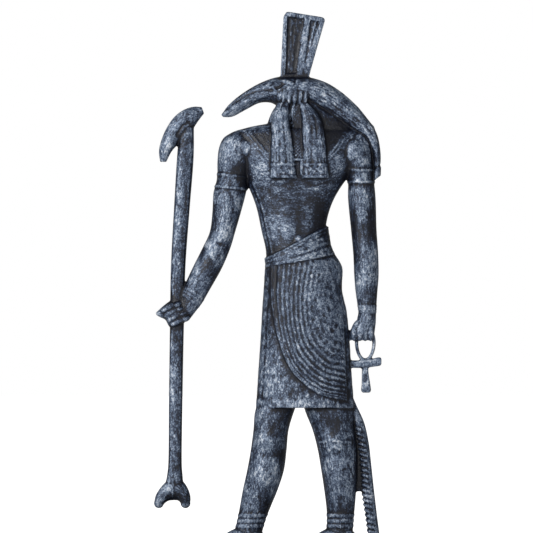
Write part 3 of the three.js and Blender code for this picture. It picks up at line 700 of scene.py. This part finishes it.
wrap(skull, 150, 170, head_carving)
for side in (-1, 1):
    ball((8.4, 5.2 * side, 237.4), (5.2, 3.9, 4.9), 0.1, 64)
    for i, x in enumerate((7.4, 10.2, 12.9, 15.6, 18.2)):
        ball((x, 7.0 * side, 236.6 - 0.2 * i), (1.3, 2.45 - 0.08 * i, 4.7), 0.12)


# Ears. Both ears in one tall flat slab with a slanted top. A raised rim and a centre rib frame two sunk
# panels on each face: a wide one with flutes in front, a narrow V behind with a rib down it.
EAR_HALF_DEPTH = 3.5
POCKET_DEPTH = 1.0
front_panel = [(8.2, 248), (9.3, 276.6), (17.9, 275.6), (13.8, 248)]
back_panel = [(17.6, 252), (20.6, 274.9), (25.6, 274.1)]
flutes = [[(9.6, 248), (11.5, 276)], [(11.0, 248), (13.9, 276)], [(12.7, 248), (16.4, 272)]]
v_rib = [(19.3, 257), (23.4, 274)]
bead_row = [(16.6, 269), (13.6, 250)]
GRID = int(100 * COARSE)


def inside(x, z, corners):
    """How far inside a convex outline each place lies, negative outside."""
    depth = np.full(len(x), 1e9)
    middle = np.mean(np.array(corners), axis=0)
    for (ax, az), (bx, bz) in zip(corners, corners[1:] + corners[:1]):
        length = math.hypot(bx - ax, bz - az)
        offset = ((x - ax) * (bz - az) - (z - az) * (bx - ax)) / length
        inward = ((middle[0] - ax) * (bz - az) - (middle[1] - az) * (bx - ax)) / length
        depth = np.minimum(depth, offset * math.copysign(1, inward))
    return depth


ears = bmesh.new()
bmesh.ops.create_cube(ears, size=2)
bmesh.ops.subdivide_edges(ears, edges=ears.edges, cuts=GRID, use_grid_fill=True)
cube = np.array([v.co for v in ears.verts])
a, b, c = cube[:, 0], cube[:, 1], cube[:, 2]
up = (c + 1) / 2
corner_round = 1.1 * (np.abs(a) ** 14) * (up ** 30)
left_x = 5.6 + 1.7 * up + corner_round
right_x = 19 + 9.4 * up - 0.5 * corner_round
x = left_x + (right_x - left_x) * (a + 1) / 2
z = 243 + up * (36.0 - 0.16 * np.clip(x - 10, 0, 30)) - 1.2 * (np.abs(a) ** 14) * (up ** 30)
sunk = np.zeros(len(x))
for panel in (front_panel, back_panel):
    sunk = np.maximum(sunk, np.clip(inside(x, z, panel) / 0.55 + 0.3, 0, 1))
relief = -POCKET_DEPTH * sunk
for flute in flutes:
    relief += 0.16 * sunk * along_line(x, z, flute, 0.4)
relief += 0.75 * sunk * along_line(x, z, v_rib, 0.6)
relief += 0.35 * sunk * np.clip(uneven(x / 1.6, z / 2.6), 0, 1)
relief += 0.5 * along_line(x, z, bead_row, 0.5) * (0.6 + 0.4 * np.cos(FULL_TURN * z / 1.4))
rounding = 0.35 * (np.abs(a) ** 10 + up ** 40)
face = np.abs(b) > 0.999
y = np.where(face, np.sign(b) * (EAR_HALF_DEPTH + relief - rounding), b * (EAR_HALF_DEPTH - rounding))
cast(ears, np.stack([x, y, z], 1), np.stack([x, y, z], 1))


# Wig. The mass over neck and shoulders, a long lappet that arches back over the shoulder, and two that
# lie on the chest with banded ends. Fine locks run along each. A beaded strip shows at the throat.
mass = Skin([
    level(238, 7, 23, 6.5),
    level(233, 4, 27.5, 7.4),
    level(228, 1, 35, 8),
    level(222.5, -0.9, 42, 8.4, 0.6),
    level(215, -2, 46.5, 8.6, 1),
])
mane = Skin([
    slant(14, 246.4, 12, 236, 8.2),
    slant(20.3, 246.1, 17, 235, 8.5),
    slant(29.9, 242.9, 24.5, 230.8, 7.9),
    slant(39.6, 236.1, 33.2, 225.1, 6.7),
    slant(48.9, 226, 43.3, 219.4, 5.7),
    slant(53.8, 218.2, 49.2, 214.2, 5.1),
    slant(55.7, 208.6, 52, 207, 4.7),
    slant(55.6, 197, 52.4, 194.6, 4.2),
], 2.3)
lappets = [
    Skin([
        level(233.5, 4.6, 10.3, 3, -5.6),
        level(226, 2, 9.6, 3.3, -8.2),
        level(215, 1.5, 11.2, 3.3, -10),
        level(205, 1.2, 12.6, 3.3, -10.6),
        level(195.8, 1, 13.4, 3.3, -10.4),
    ], 3),
    Skin([
        level(233.5, 15, 19.2, 3, -5.6),
        level(226, 16.6, 25.4, 3.3, -8.2),
        level(215, 16.9, 27.8, 3.3, -10),
        level(205, 17, 28.6, 3.3, -10.6),
        level(195.8, 17.1, 29.6, 3.3, -10.4),
    ], 3),
]


def mass_carving(angle, share, x, z):
    return 0.16 * uneven(x / 1.1, z / 1.1)


def mane_carving(angle, share, x, z):
    strands = 0.3 * uneven(angle * 7.5, share * 11) + 0.1 * np.cos(angle * 30 + 3 * share)
    tip = window(share, 0.945, 2, 0.01)
    rings = 0.4 * tip - 0.3 * window(share, 0.925, 0.938, 0.01)
    return strands * (1 - tip) + rings + 0.6 * hump(x, z, 51.4, 221, 1.2, 1.2)


def lappet_carving(angle, share, x, z):
    plain = 1 - window(share, 0.80, 2, 0.02)
    strands = plain * (0.26 * uneven(angle * 7, share * 4) + 0.08 * np.cos(angle * 24))
    ends = 0.22 * uneven(x / 0.8, z / 0.8) * (1 - plain)
    for low, high in ((0.80, 0.83), (0.965, 1.1)):
        ends = ends + 0.3 * window(share, low, high, 0.012)
    return facing(angle) ** 0.3 * (strands + ends) + 0.3


wrap(mass, 300, 70, mass_carving)
wrap(mane, 240, 220, mane_carving)
for lappet in lappets:
    wrap(lappet, 220, 130, lappet_carving)


def seat(x, z):
    """Places on the carved chest."""
    return torso.front(x, z, chest_carving(np.full(len(x), -1.5), torso.share_at(z), x, z))


def throat_front(u, v_share):
    z = 232 - 26.5 * v_share
    x = 11.4 + 6.4 * u
    place = seat(x, np.minimum(z, 221))
    bead = np.cos(FULL_TURN * x / 1.6) * np.cos(FULL_TURN * z / 1.6)
    place[:, 1] -= 0.6 + 0.3 * bead
    place[:, 2] = z
    return place, np.stack([u * 6, np.zeros(len(u)), v_share * 30], 1)


sheet(int(40 * COARSE), int(130 * COARSE), throat_front, 4.0)


def strip(corners, proud):
    """A thin raised bar laid on the chest between two places."""
    (ax, az), (bx, bz) = corners
    steps = np.linspace(0, 1, 6)
    xs, zs = ax + (bx - ax) * steps, az + (bz - az) * steps
    across = np.array([bz - az, 0, ax - bx]) / math.hypot(bx - ax, bz - az) * 0.75
    stations = [(tuple(p - across), tuple(p + across), proud) for p in seat(xs, zs)]
    wrap(Skin(stations, 3), 24, 30)


strip([(16.2, 204), (16.2, 197.2)], 1.5)
strip([(12, 205), (17.4, 205)], 1.2)
strip([(9.2, 231.5), (11.4, 226)], 4.4)
strip([(11.6, 230), (11.4, 223)], 3.6)


# The casting in one piece. The forms are fused to one skin, as they come out of the mould, then thinned where they are plain.
# Each place keeps the direction of the form it came from, for the brushing to follow.
VOXEL = 0.42
MOST_TRIANGLES = 196000

source_grain = np.concatenate(grain_of_forms)
bmesh.ops.recalc_face_normals(casting, faces=casting.faces)
bmesh.ops.triangulate(casting, faces=casting.faces)
source_tree = BVHTree.FromBMesh(casting)
rough_mesh = bpy.data.meshes.new("figure_rough")
casting.to_mesh(rough_mesh)
casting.free()
source_places = np.zeros(len(rough_mesh.vertices) * 3)
rough_mesh.vertices.foreach_get("co", source_places)
source_places = source_places.reshape(-1, 3)
source_corners = np.zeros(len(rough_mesh.loops), int)
rough_mesh.loops.foreach_get("vertex_index", source_corners)
source_corners = source_corners.reshape(-1, 3)
rough = bpy.data.objects.new("figure_rough", rough_mesh)
bpy.context.scene.collection.objects.link(rough)


def settle(obj, name):
    """A new mesh with the object's modifiers taken in."""
    depsgraph = bpy.context.evaluated_depsgraph_get()
    mesh = bpy.data.meshes.new_from_object(obj.evaluated_get(depsgraph))
    mesh.name = name
    obj.modifiers.clear()
    obj.data = mesh
    return mesh


fuse = rough.modifiers.new("fuse", "REMESH")
fuse.mode = "VOXEL"
fuse.voxel_size = VOXEL
fuse.adaptivity = 0.0
fused = settle(rough, "figure_fused")

shells = bmesh.new()
shells.from_mesh(fused)
bmesh.ops.bisect_plane(shells, geom=shells.verts[:] + shells.edges[:] + shells.faces[:],
                       plane_co=(0, 0, SOLE_Z), plane_no=(0, 0, -1), clear_outer=True)
rim = [e for e in shells.edges if e.is_boundary]
bmesh.ops.holes_fill(shells, edges=rim, sides=0)
shells.verts.ensure_lookup_table()
seen = set()
parts = []
for start in shells.verts:
    if start.index in seen:
        continue
    seen.add(start.index)
    stack, group = [start], []
    while stack:
        v = stack.pop()
        group.append(v)
        for e in v.link_edges:
            other = e.other_vert(v)
            if other.index not in seen:
                seen.add(other.index)
                stack.append(other)
    parts.append(group)
parts.sort(key=len)
for group in parts[:-1]:
    bmesh.ops.delete(shells, geom=group, context="VERTS")
bmesh.ops.smooth_vert(shells, verts=[v for v in shells.verts if v.co.z > SOLE_Z + 0.3], factor=0.3,
                      use_axis_x=True, use_axis_y=True, use_axis_z=True)
bmesh.ops.triangulate(shells, faces=shells.faces)
triangles = len(shells.faces)
shells.to_mesh(fused)
shells.free()

thin = rough.modifiers.new("thin", "DECIMATE")
thin.ratio = min(1.0, MOST_TRIANGLES / triangles)
cast_mesh = settle(rough, "figure_casting")
print("fused", triangles, "triangles, kept", len(cast_mesh.polygons))

count = len(cast_mesh.vertices)
places = np.zeros(count * 3)
cast_mesh.vertices.foreach_get("co", places)
places = places.reshape(-1, 3)
found = [source_tree.find_nearest(co) for co in places]
p0, p1, p2 = (source_places[source_corners[[face for _, _, face, _ in found], k]] for k in range(3))
g0, g1, g2 = (source_grain[source_corners[[face for _, _, face, _ in found], k]] for k in range(3))
reach_1, reach_2 = p1 - p0, p2 - p0
offset = np.array([at for at, _, _, _ in found]) - p0
d11, d12, d22 = np.sum(reach_1 ** 2, 1), np.sum(reach_1 * reach_2, 1), np.sum(reach_2 ** 2, 1)
o1, o2 = np.sum(offset * reach_1, 1), np.sum(offset * reach_2, 1)
area = np.maximum(d11 * d22 - d12 ** 2, 1e-12)
w1 = np.clip((d22 * o1 - d12 * o2) / area, 0, 1)[:, None]
w2 = np.clip((d11 * o2 - d12 * o1) / area, 0, 1)[:, None]
grain = g0 + w1 * (g1 - g0) + w2 * (g2 - g0)
grain_attribute = cast_mesh.attributes.new("grain", "FLOAT_VECTOR", "POINT")
grain_attribute.data.foreach_set("vector", grain.ravel())

figure = rough
figure.name = "figure_casting"
cast_mesh.transform(Matrix.Scale(MM, 4))
cast_mesh.shade_smooth()


# Blackened, dry-brushed metal. The casting is blackened all over, and silver grey is brushed on what stands out. The
# brush drags along the forms, so the hollows stay black and the raised places catch streaks and flecks. Painted shade
# and a few painted highlights are added to the same amount of silver.
def spread_over(mesh, values, rounds):
    """Averages a value over each point's neighbours, several times."""
    ends = np.zeros(len(mesh.edges) * 2, int)
    mesh.edges.foreach_get("vertices", ends)
    one, two = ends.reshape(-1, 2).T
    number = np.maximum(np.bincount(one, minlength=len(values)) + np.bincount(two, minlength=len(values)), 1)
    for _ in range(rounds):
        total = np.zeros_like(values)
        for axis in range(values.shape[1]):
            total[:, axis] = (np.bincount(one, values[two, axis], len(values))
                              + np.bincount(two, values[one, axis], len(values)))
        values = 0.5 * values + 0.5 * total / number[:, None]
    return values


normals = np.zeros(count * 3)
cast_mesh.vertices.foreach_get("normal", normals)
normals = normals.reshape(-1, 3)
near = np.sum((places - spread_over(cast_mesh, places, 4)) * normals, 1)
wide = np.sum((places - spread_over(cast_mesh, places, 40)) * normals, 1)
# Listed dark ovals. Some are places left black, such as the left forearm, the eye, the collar and the ear panels. Most
# are painted shade: in the recesses under the mane and the jaw, in the throat, the armpits, under the chest, on the
# right flank and the right sides of the arms, legs and staff, on the leg tops under the kilt's hem, in the tail's web
# and under the fork.
black_and_shaded_places = [
    (-10, 217, 13, 3.4, 8, 0.34), (-3, 214, 4.5, 5, 0, 0.3), (29, 224.5, 9, 8, 0, 0.5),
    (39, 221.5, 11, 4, 33, 0.45), (32, 214, 4.5, 5, 0, 0.24),
    (14.4, 221, 2.6, 10, 0, 0.34), (9, 232.4, 6.5, 2.2, 0, 0.3), (-13.5, 198, 3.6, 8.5, 20, 0.5),
    (39.6, 198, 3.2, 6.5, -15, 0.42), (9.6, 191.6, 5, 2.2, 0, 0.32), (27, 175, 4, 12, 12, 0.42),
    (15.5, 183, 14, 9, 0, 0.04), (-28.6, 150, 4.8, 13, 28, 0.5), (-15.5, 172, 2.6, 13, 14, 0.26),
    (-22, 161, 3, 6, 20, 0.26), (51.6, 178, 2.4, 16, 0, 0.34), (42.3, 178, 2.2, 17, -3, 0.34),
    (2.2, 146, 3, 6.5, 0, 0.46), (2, 128, 2.6, 14, -6, 0.24), (6.4, 101, 3, 8, -30, 0.3),
    (16, 91, 7, 3, -40, 0.24), (37.5, 92, 2.6, 12, 5, 0.3), (6.5, 78.5, 9, 4, 0, 0.36),
    (31, 77, 11, 4.5, 0, 0.26), (7.2, 52, 3, 26, 14, 0.34), (-0.8, 32, 4, 12, 18, 0.4),
    (44.5, 58, 2.4, 12, 0, 0.4), (45, 46, 2.2, 11, 0, 0.5), (32, 34, 7, 14, 0, 0.12),
    (-41.2, 160, 2.8, 64, -1.5, 0.28), (-46, 160, 4, 60, -1.5, 0.06), (-43.5, 214, 4, 8, 0, 0.34), (-45, 84, 2.4, 36, 0, 0.2),
    (-1.5, 246, 8, 2.4, 28, 0.2), (-11, 240.6, 12, 1.8, 34, 0.36), (6, 240.4, 2.6, 2, 0, 0.3),
    (12.6, 246.6, 8, 2.4, 0, 0.42), (12.4, 262, 4.4, 15, 2, 0.3), (21.6, 266, 2.4, 9, -18, 0.1), (53.2, 205, 2.2, 12, 0, 0.3),
    (18, 236, 4, 6, 0, 0.12), (46, 150, 5, 16, 0, 0.14), (-47.6, 36.4, 7, 2.6, 0, 0.4), (-42.4, 38, 4, 9, 0, 0.3), (-50, 34, 3.5, 2.5, 40, 0.3), ]
# Listed light ovals: mostly places where the brush left more silver. The thin streaks down the left and the right
# forearm are painted highlights.
silvered_and_highlit_places = [
    (-18, 209.5, 6, 4, 30, 0.16), (-10, 211, 5, 2.2, -20, 0.14), (-1.6, 199, 7, 3.6, -42, 0.2), (31, 202, 4, 7, 0, 0.14), (23, 125, 14, 34, 0, 0.12), (44, 209.5, 6.5, 7, 0, 0.08),
    (-22.5, 184, 3, 16, 0, 0.16), (-29.8, 160, 1.2, 8, 28, 0.4), (-42.8, 137.4, 0.6, 4.6, -8, 0.5), (14.8, 165.3, 1.7, 1.7, 0, 0.5),
    (8.6, 166.5, 2.6, 7, 0, 0.16), (46.8, 156, 1.3, 11, 0, 0.34), (46, 134, 4, 12, 0, 0.12),
    (1, 98, 5, 12, 0, 0.16), (16, 91, 22, 2.6, -30, 0.14), (10, 125, 4, 30, 0, 0.08),
    (-5.4, 58, 3.6, 26, 12, 0.07), (45.5, 80, 3.4, 8, -15, 0.24),
    (37, 231, 20, 8, -35, 0.2), (38, 239, 22, 5, -38, 0.3), (11.2, 228.4, 0.9, 4.6, -18, 0.7),
    (16.2, 201, 0.9, 4, 0, 0.4), (14.6, 205.1, 3.2, 0.6, 0, 0.4), (24, 196.6, 7, 0.6, 0, 0.3), (5.2, 212, 4, 18, 0, 0.08), (22, 212, 4.6, 16, 0, 0.1),
    (-15, 233.6, 8, 1.8, 38, 0.3), (-3, 238.6, 6, 1.6, 12, 0.2), (9, 237, 4.5, 4.5, 0, 0.1),
    (7.3, 262, 1.1, 16, 0, 0.34), (18, 262, 1.5, 16, -12, 0.24), (21.6, 266, 0.8, 9, -24, 0.34), (-47, 84, 2, 40, 0, 0.1),
    (48, 103, 9, 16, 0, 0.12), (48, 124, 7, 7, 0, 0.2), (37, 53, 1, 3, -30, 0.3), (34, 62, 4.5, 0.8, 0, 0.2),
]


def over_places(x, z, spots):
    """Adds up soft-edged ovals: middle, half sizes, turn in degrees and strength of each."""
    total = np.zeros(len(x))
    for at_x, at_z, half_x, half_z, turn, strength in spots:
        c, s = math.cos(math.radians(turn)), math.sin(math.radians(turn))
        dx, dz = x - at_x, z - at_z
        reach = ((c * dx + s * dz) / half_x) ** 2 + ((c * dz - s * dx) / half_z) ** 2
        total += strength * np.exp(-reach ** 1.6)
    return total


# The amount of silver at each place: more on raised places and less in hollows, as brushed, plus painted shade and
# painted highlights from the listed ovals and the darkened sides.
silver_with_painted_light = 0.24 * np.clip(near / 0.045, -1, 1) + 0.14 * np.clip(wide / 0.35, -1, 1)
# Places that turn sideways, away from the front, are darkened: partly because the brush reached them less, partly as
# painted shade.
silver_with_painted_light += 0.45 * (np.minimum(np.abs(normals[:, 1]), 0.8) - 0.8)
silver_with_painted_light += over_places(places[:, 0], places[:, 2], silvered_and_highlit_places)
silver_with_painted_light -= over_places(places[:, 0], places[:, 2], black_and_shaded_places)
silver_with_painted_light = np.where(silver_with_painted_light > 0, 0.24 * np.tanh(silver_with_painted_light / 0.24), 0.6 * np.tanh(silver_with_painted_light / 0.6))
silver_with_painted_light_attribute = cast_mesh.attributes.new("silver_with_painted_light", "FLOAT", "POINT")
silver_with_painted_light_attribute.data.foreach_set("value", silver_with_painted_light)

brushed_silver = bpy.data.node_groups.new("brushed_silver", "ShaderNodeTree")
for name, kind in (("Grain", "NodeSocketVector"), ("Place", "NodeSocketVector"), ("Silver_with_painted_light", "NodeSocketFloat")):
    brushed_silver.interface.new_socket(name, in_out="INPUT", socket_type=kind)
for name, kind in (("Colour", "NodeSocketColor"), ("Cover", "NodeSocketFloat"), ("Height", "NodeSocketFloat")):
    brushed_silver.interface.new_socket(name, in_out="OUTPUT", socket_type=kind)
given = brushed_silver.nodes.new("NodeGroupInput").outputs
made = brushed_silver.nodes.new("NodeGroupOutput").inputs


def noise(vector, stretch, scale, detail, roughness):
    """A noise of the given features per unit, drawn out by the stretch."""
    pull = brushed_silver.nodes.new("ShaderNodeMapping")
    pull.inputs["Scale"].default_value = stretch
    brushed_silver.links.new(vector, pull.inputs["Vector"])
    node = brushed_silver.nodes.new("ShaderNodeTexNoise")
    node.inputs["Scale"].default_value = scale
    node.inputs["Detail"].default_value = detail
    node.inputs["Roughness"].default_value = roughness
    brushed_silver.links.new(pull.outputs["Vector"], node.inputs["Vector"])
    return node.outputs["Fac"]


def weigh(value, weight, rest, clamped=False):
    """value times weight, plus rest."""
    node = brushed_silver.nodes.new("ShaderNodeMath")
    node.operation = "MULTIPLY_ADD"
    node.use_clamp = clamped
    brushed_silver.links.new(value, node.inputs[0])
    node.inputs[1].default_value = weight
    if isinstance(rest, (int, float)):
        node.inputs[2].default_value = rest
    else:
        brushed_silver.links.new(rest, node.inputs[2])
    return node.outputs[0]


def ramp(value, stops):
    node = brushed_silver.nodes.new("ShaderNodeValToRGB")
    stop = node.color_ramp.elements[0]
    node.color_ramp.elements.remove(node.color_ramp.elements[1])
    for i, (place, colour) in enumerate(stops):
        stop = node.color_ramp.elements[0] if i == 0 else node.color_ramp.elements.new(place)
        stop.position = place
        stop.color = (*colour, 1)
    brushed_silver.links.new(value, node.inputs["Fac"])
    return node.outputs["Color"]


streaks = noise(given["Grain"], (1, 1, 0.3), 0.9, 3, 0.6)
fine_streaks = noise(given["Grain"], (1, 1, 0.4), 2.2, 2, 0.6)
mottle = noise(given["Place"], (1, 1, 1), 1250, 2, 0.7)
blotches = noise(given["Place"], (1, 1, 1), 260, 3, 0.65)
clouds = noise(given["Place"], (1, 1, 1), 70, 2, 0.5)
specks = noise(given["Place"], (1, 1, 1), 1500, 1, 0.5)
amount = weigh(given["Silver_with_painted_light"], 1.15, -2.12)
amount = weigh(streaks, 1.2, amount)
amount = weigh(fine_streaks, 1.15, amount)
amount = weigh(mottle, 1.05, amount)
amount = weigh(blotches, 1.0, amount)
amount = weigh(clouds, 0.55, amount)
amount = weigh(weigh(specks, 9, -5.6, True), 0.3, amount)
brushed_silver.links.new(ramp(amount, [
    (0.06, (0.002, 0.003, 0.008)),
    (0.24, (0.009, 0.014, 0.031)),
    (0.40, (0.034, 0.050, 0.088)),
    (0.56, (0.094, 0.128, 0.192)),
    (0.72, (0.205, 0.258, 0.345)),
    (0.88, (0.340, 0.395, 0.480)),
    (1.00, (0.600, 0.640, 0.700)),
]), made["Colour"])
brushed_silver.links.new(ramp(amount, [(0.2, (0, 0, 0)), (0.75, (1, 1, 1))]), made["Cover"])
brushed_silver.links.new(amount, made["Height"])


def blackened_metal(name, grain_name):
    """The finish as a material. Grain is a stored direction on the figure, and plain place elsewhere."""
    metal = bpy.data.materials.new(name)
    metal.use_nodes = True
    tree = metal.node_tree
    shader = tree.nodes["Principled BSDF"]
    shader.inputs["Specular IOR Level"].default_value = 0.4
    finish = tree.nodes.new("ShaderNodeGroup")
    finish.node_tree = brushed_silver
    place = tree.nodes.new("ShaderNodeTexCoord").outputs["Object"]
    tree.links.new(place, finish.inputs["Place"])
    if grain_name:
        grain = tree.nodes.new("ShaderNodeAttribute")
        grain.attribute_name = grain_name
        tree.links.new(grain.outputs["Vector"], finish.inputs["Grain"])
        silver_with_painted_light = tree.nodes.new("ShaderNodeAttribute")
        silver_with_painted_light.attribute_name = "silver_with_painted_light"
        tree.links.new(silver_with_painted_light.outputs["Fac"], finish.inputs["Silver_with_painted_light"])
    else:
        lengthwise = tree.nodes.new("ShaderNodeMapping")
        lengthwise.inputs["Scale"].default_value = (300, 1000, 1000)
        tree.links.new(place, lengthwise.inputs["Vector"])
        tree.links.new(lengthwise.outputs["Vector"], finish.inputs["Grain"])
        finish.inputs["Silver_with_painted_light"].default_value = -0.1
    tree.links.new(finish.outputs["Colour"], shader.inputs["Base Color"])
    for socket, bare, covered in (("Roughness", 0.4, 0.6), ("Metallic", 0.0, 0.4)):
        mix = tree.nodes.new("ShaderNodeMapRange")
        mix.inputs["To Min"].default_value = bare
        mix.inputs["To Max"].default_value = covered
        tree.links.new(finish.outputs["Cover"], mix.inputs["Value"])
        tree.links.new(mix.outputs["Result"], shader.inputs[socket])
    bump = tree.nodes.new("ShaderNodeBump")
    bump.inputs["Strength"].default_value = 0.6
    bump.inputs["Distance"].default_value = 0.0002
    tree.links.new(finish.outputs["Height"], bump.inputs["Height"])
    tree.links.new(bump.outputs["Normal"], shader.inputs["Normal"])
    return metal


metal = blackened_metal("blackened_dry_brushed_metal", "grain")
cast_mesh.materials.clear()
cast_mesh.materials.append(metal)
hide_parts("figure")
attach(figure, "root")


# Plinth. A low rectangular block that the figure is fixed to, blackened like it, with its edges rounded and
# a little silver flecked over it.
PLINTH_SIZE = (0.120, 0.056, 0.010)
plinth_form = bmesh.new()
bmesh.ops.create_cube(plinth_form, size=1, matrix=Matrix.Diagonal((*PLINTH_SIZE, 1)))
bmesh.ops.translate(plinth_form, verts=plinth_form.verts, vec=(0, 0, PLINTH_SIZE[2] / 2))
bmesh.ops.bevel(plinth_form, geom=plinth_form.edges[:], offset=0.0013, affect="EDGES", segments=4,
                profile=0.5, material=-1)
plinth_mesh = bpy.data.meshes.new("plinth_block")
plinth_form.to_mesh(plinth_mesh)
plinth_form.free()
plinth = bpy.data.objects.new("plinth_block", plinth_mesh)
bpy.context.scene.collection.objects.link(plinth)
plinth_mesh.materials.append(blackened_metal("blackened_plinth_metal", None))
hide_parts("plinth")
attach(plinth, "root")


# Floor, light and camera. A pale floor and soft studio light. The camera stands level with the figure's middle, straight in
# front, with a long lens, and cuts the figure off at the ankles.
floor_form = bmesh.new()
bmesh.ops.create_grid(floor_form, x_segments=1, y_segments=1, size=4)
floor_mesh = bpy.data.meshes.new("floor")
floor_form.to_mesh(floor_mesh)
floor_form.free()
floor = bpy.data.objects.new("floor", floor_mesh)
bpy.context.scene.collection.objects.link(floor)
pale = bpy.data.materials.new("pale_floor")
pale.use_nodes = True
pale_shader = pale.node_tree.nodes["Principled BSDF"]
pale_shader.inputs["Base Color"].default_value = (0.9, 0.9, 0.9, 1)
pale_shader.inputs["Roughness"].default_value = 0.9
pale_shader.inputs["Emission Color"].default_value = (1, 1, 1, 1)
floor_seen = pale.node_tree.nodes.new("ShaderNodeLightPath")
pale.node_tree.links.new(floor_seen.outputs["Is Camera Ray"], pale_shader.inputs["Emission Strength"])
floor_mesh.materials.append(pale)


def softbox(name, at, aim, size, power):
    lamp = bpy.data.lights.new(name, "AREA")
    lamp.shape = "RECTANGLE"
    lamp.size, lamp.size_y = size
    lamp.energy = power
    holder = bpy.data.objects.new(name, lamp)
    holder.location = at
    holder.rotation_euler = (Vector(aim) - Vector(at)).to_track_quat("-Z", "Y").to_euler()
    bpy.context.scene.collection.objects.link(holder)


softbox("key", (-0.9, -1.1, 0.7), (0, 0, 0.15), (0.5, 0.6), 17)
softbox("fill", (0.5, -1.3, 0.25), (0, 0, 0.15), (0.3, 0.6), 3)

world = bpy.data.worlds.new("studio")
world.use_nodes = True
dim = world.node_tree.nodes["Background"]
dim.inputs["Color"].default_value = (1, 1, 1, 1)
dim.inputs["Strength"].default_value = 0.2
white = world.node_tree.nodes.new("ShaderNodeBackground")
white.inputs["Color"].default_value = (1, 1, 1, 1)
white.inputs["Strength"].default_value = 1.0
seen = world.node_tree.nodes.new("ShaderNodeLightPath")
choose = world.node_tree.nodes.new("ShaderNodeMixShader")
world.node_tree.links.new(seen.outputs["Is Camera Ray"], choose.inputs["Fac"])
world.node_tree.links.new(dim.outputs["Background"], choose.inputs[1])
world.node_tree.links.new(white.outputs["Background"], choose.inputs[2])
world.node_tree.links.new(choose.outputs["Shader"], world.node_tree.nodes["World Output"].inputs["Surface"])
bpy.context.scene.world = world

FRAME_WIDTH = 0.2665
CAMERA_DISTANCE = 3.0
lens = bpy.data.cameras.new("camera")
lens.sensor_width = 36
lens.lens = 36 * CAMERA_DISTANCE / FRAME_WIDTH
lens.clip_start, lens.clip_end = 0.1, 50
camera = bpy.data.objects.new("camera", lens)
camera.location = (-0.00125, -CAMERA_DISTANCE, 0.15175)
camera.rotation_euler = (math.pi / 2, 0, 0)
bpy.context.scene.collection.objects.link(camera)
bpy.context.scene.camera = camera
bpy.context.scene.view_settings.view_transform = "Standard"
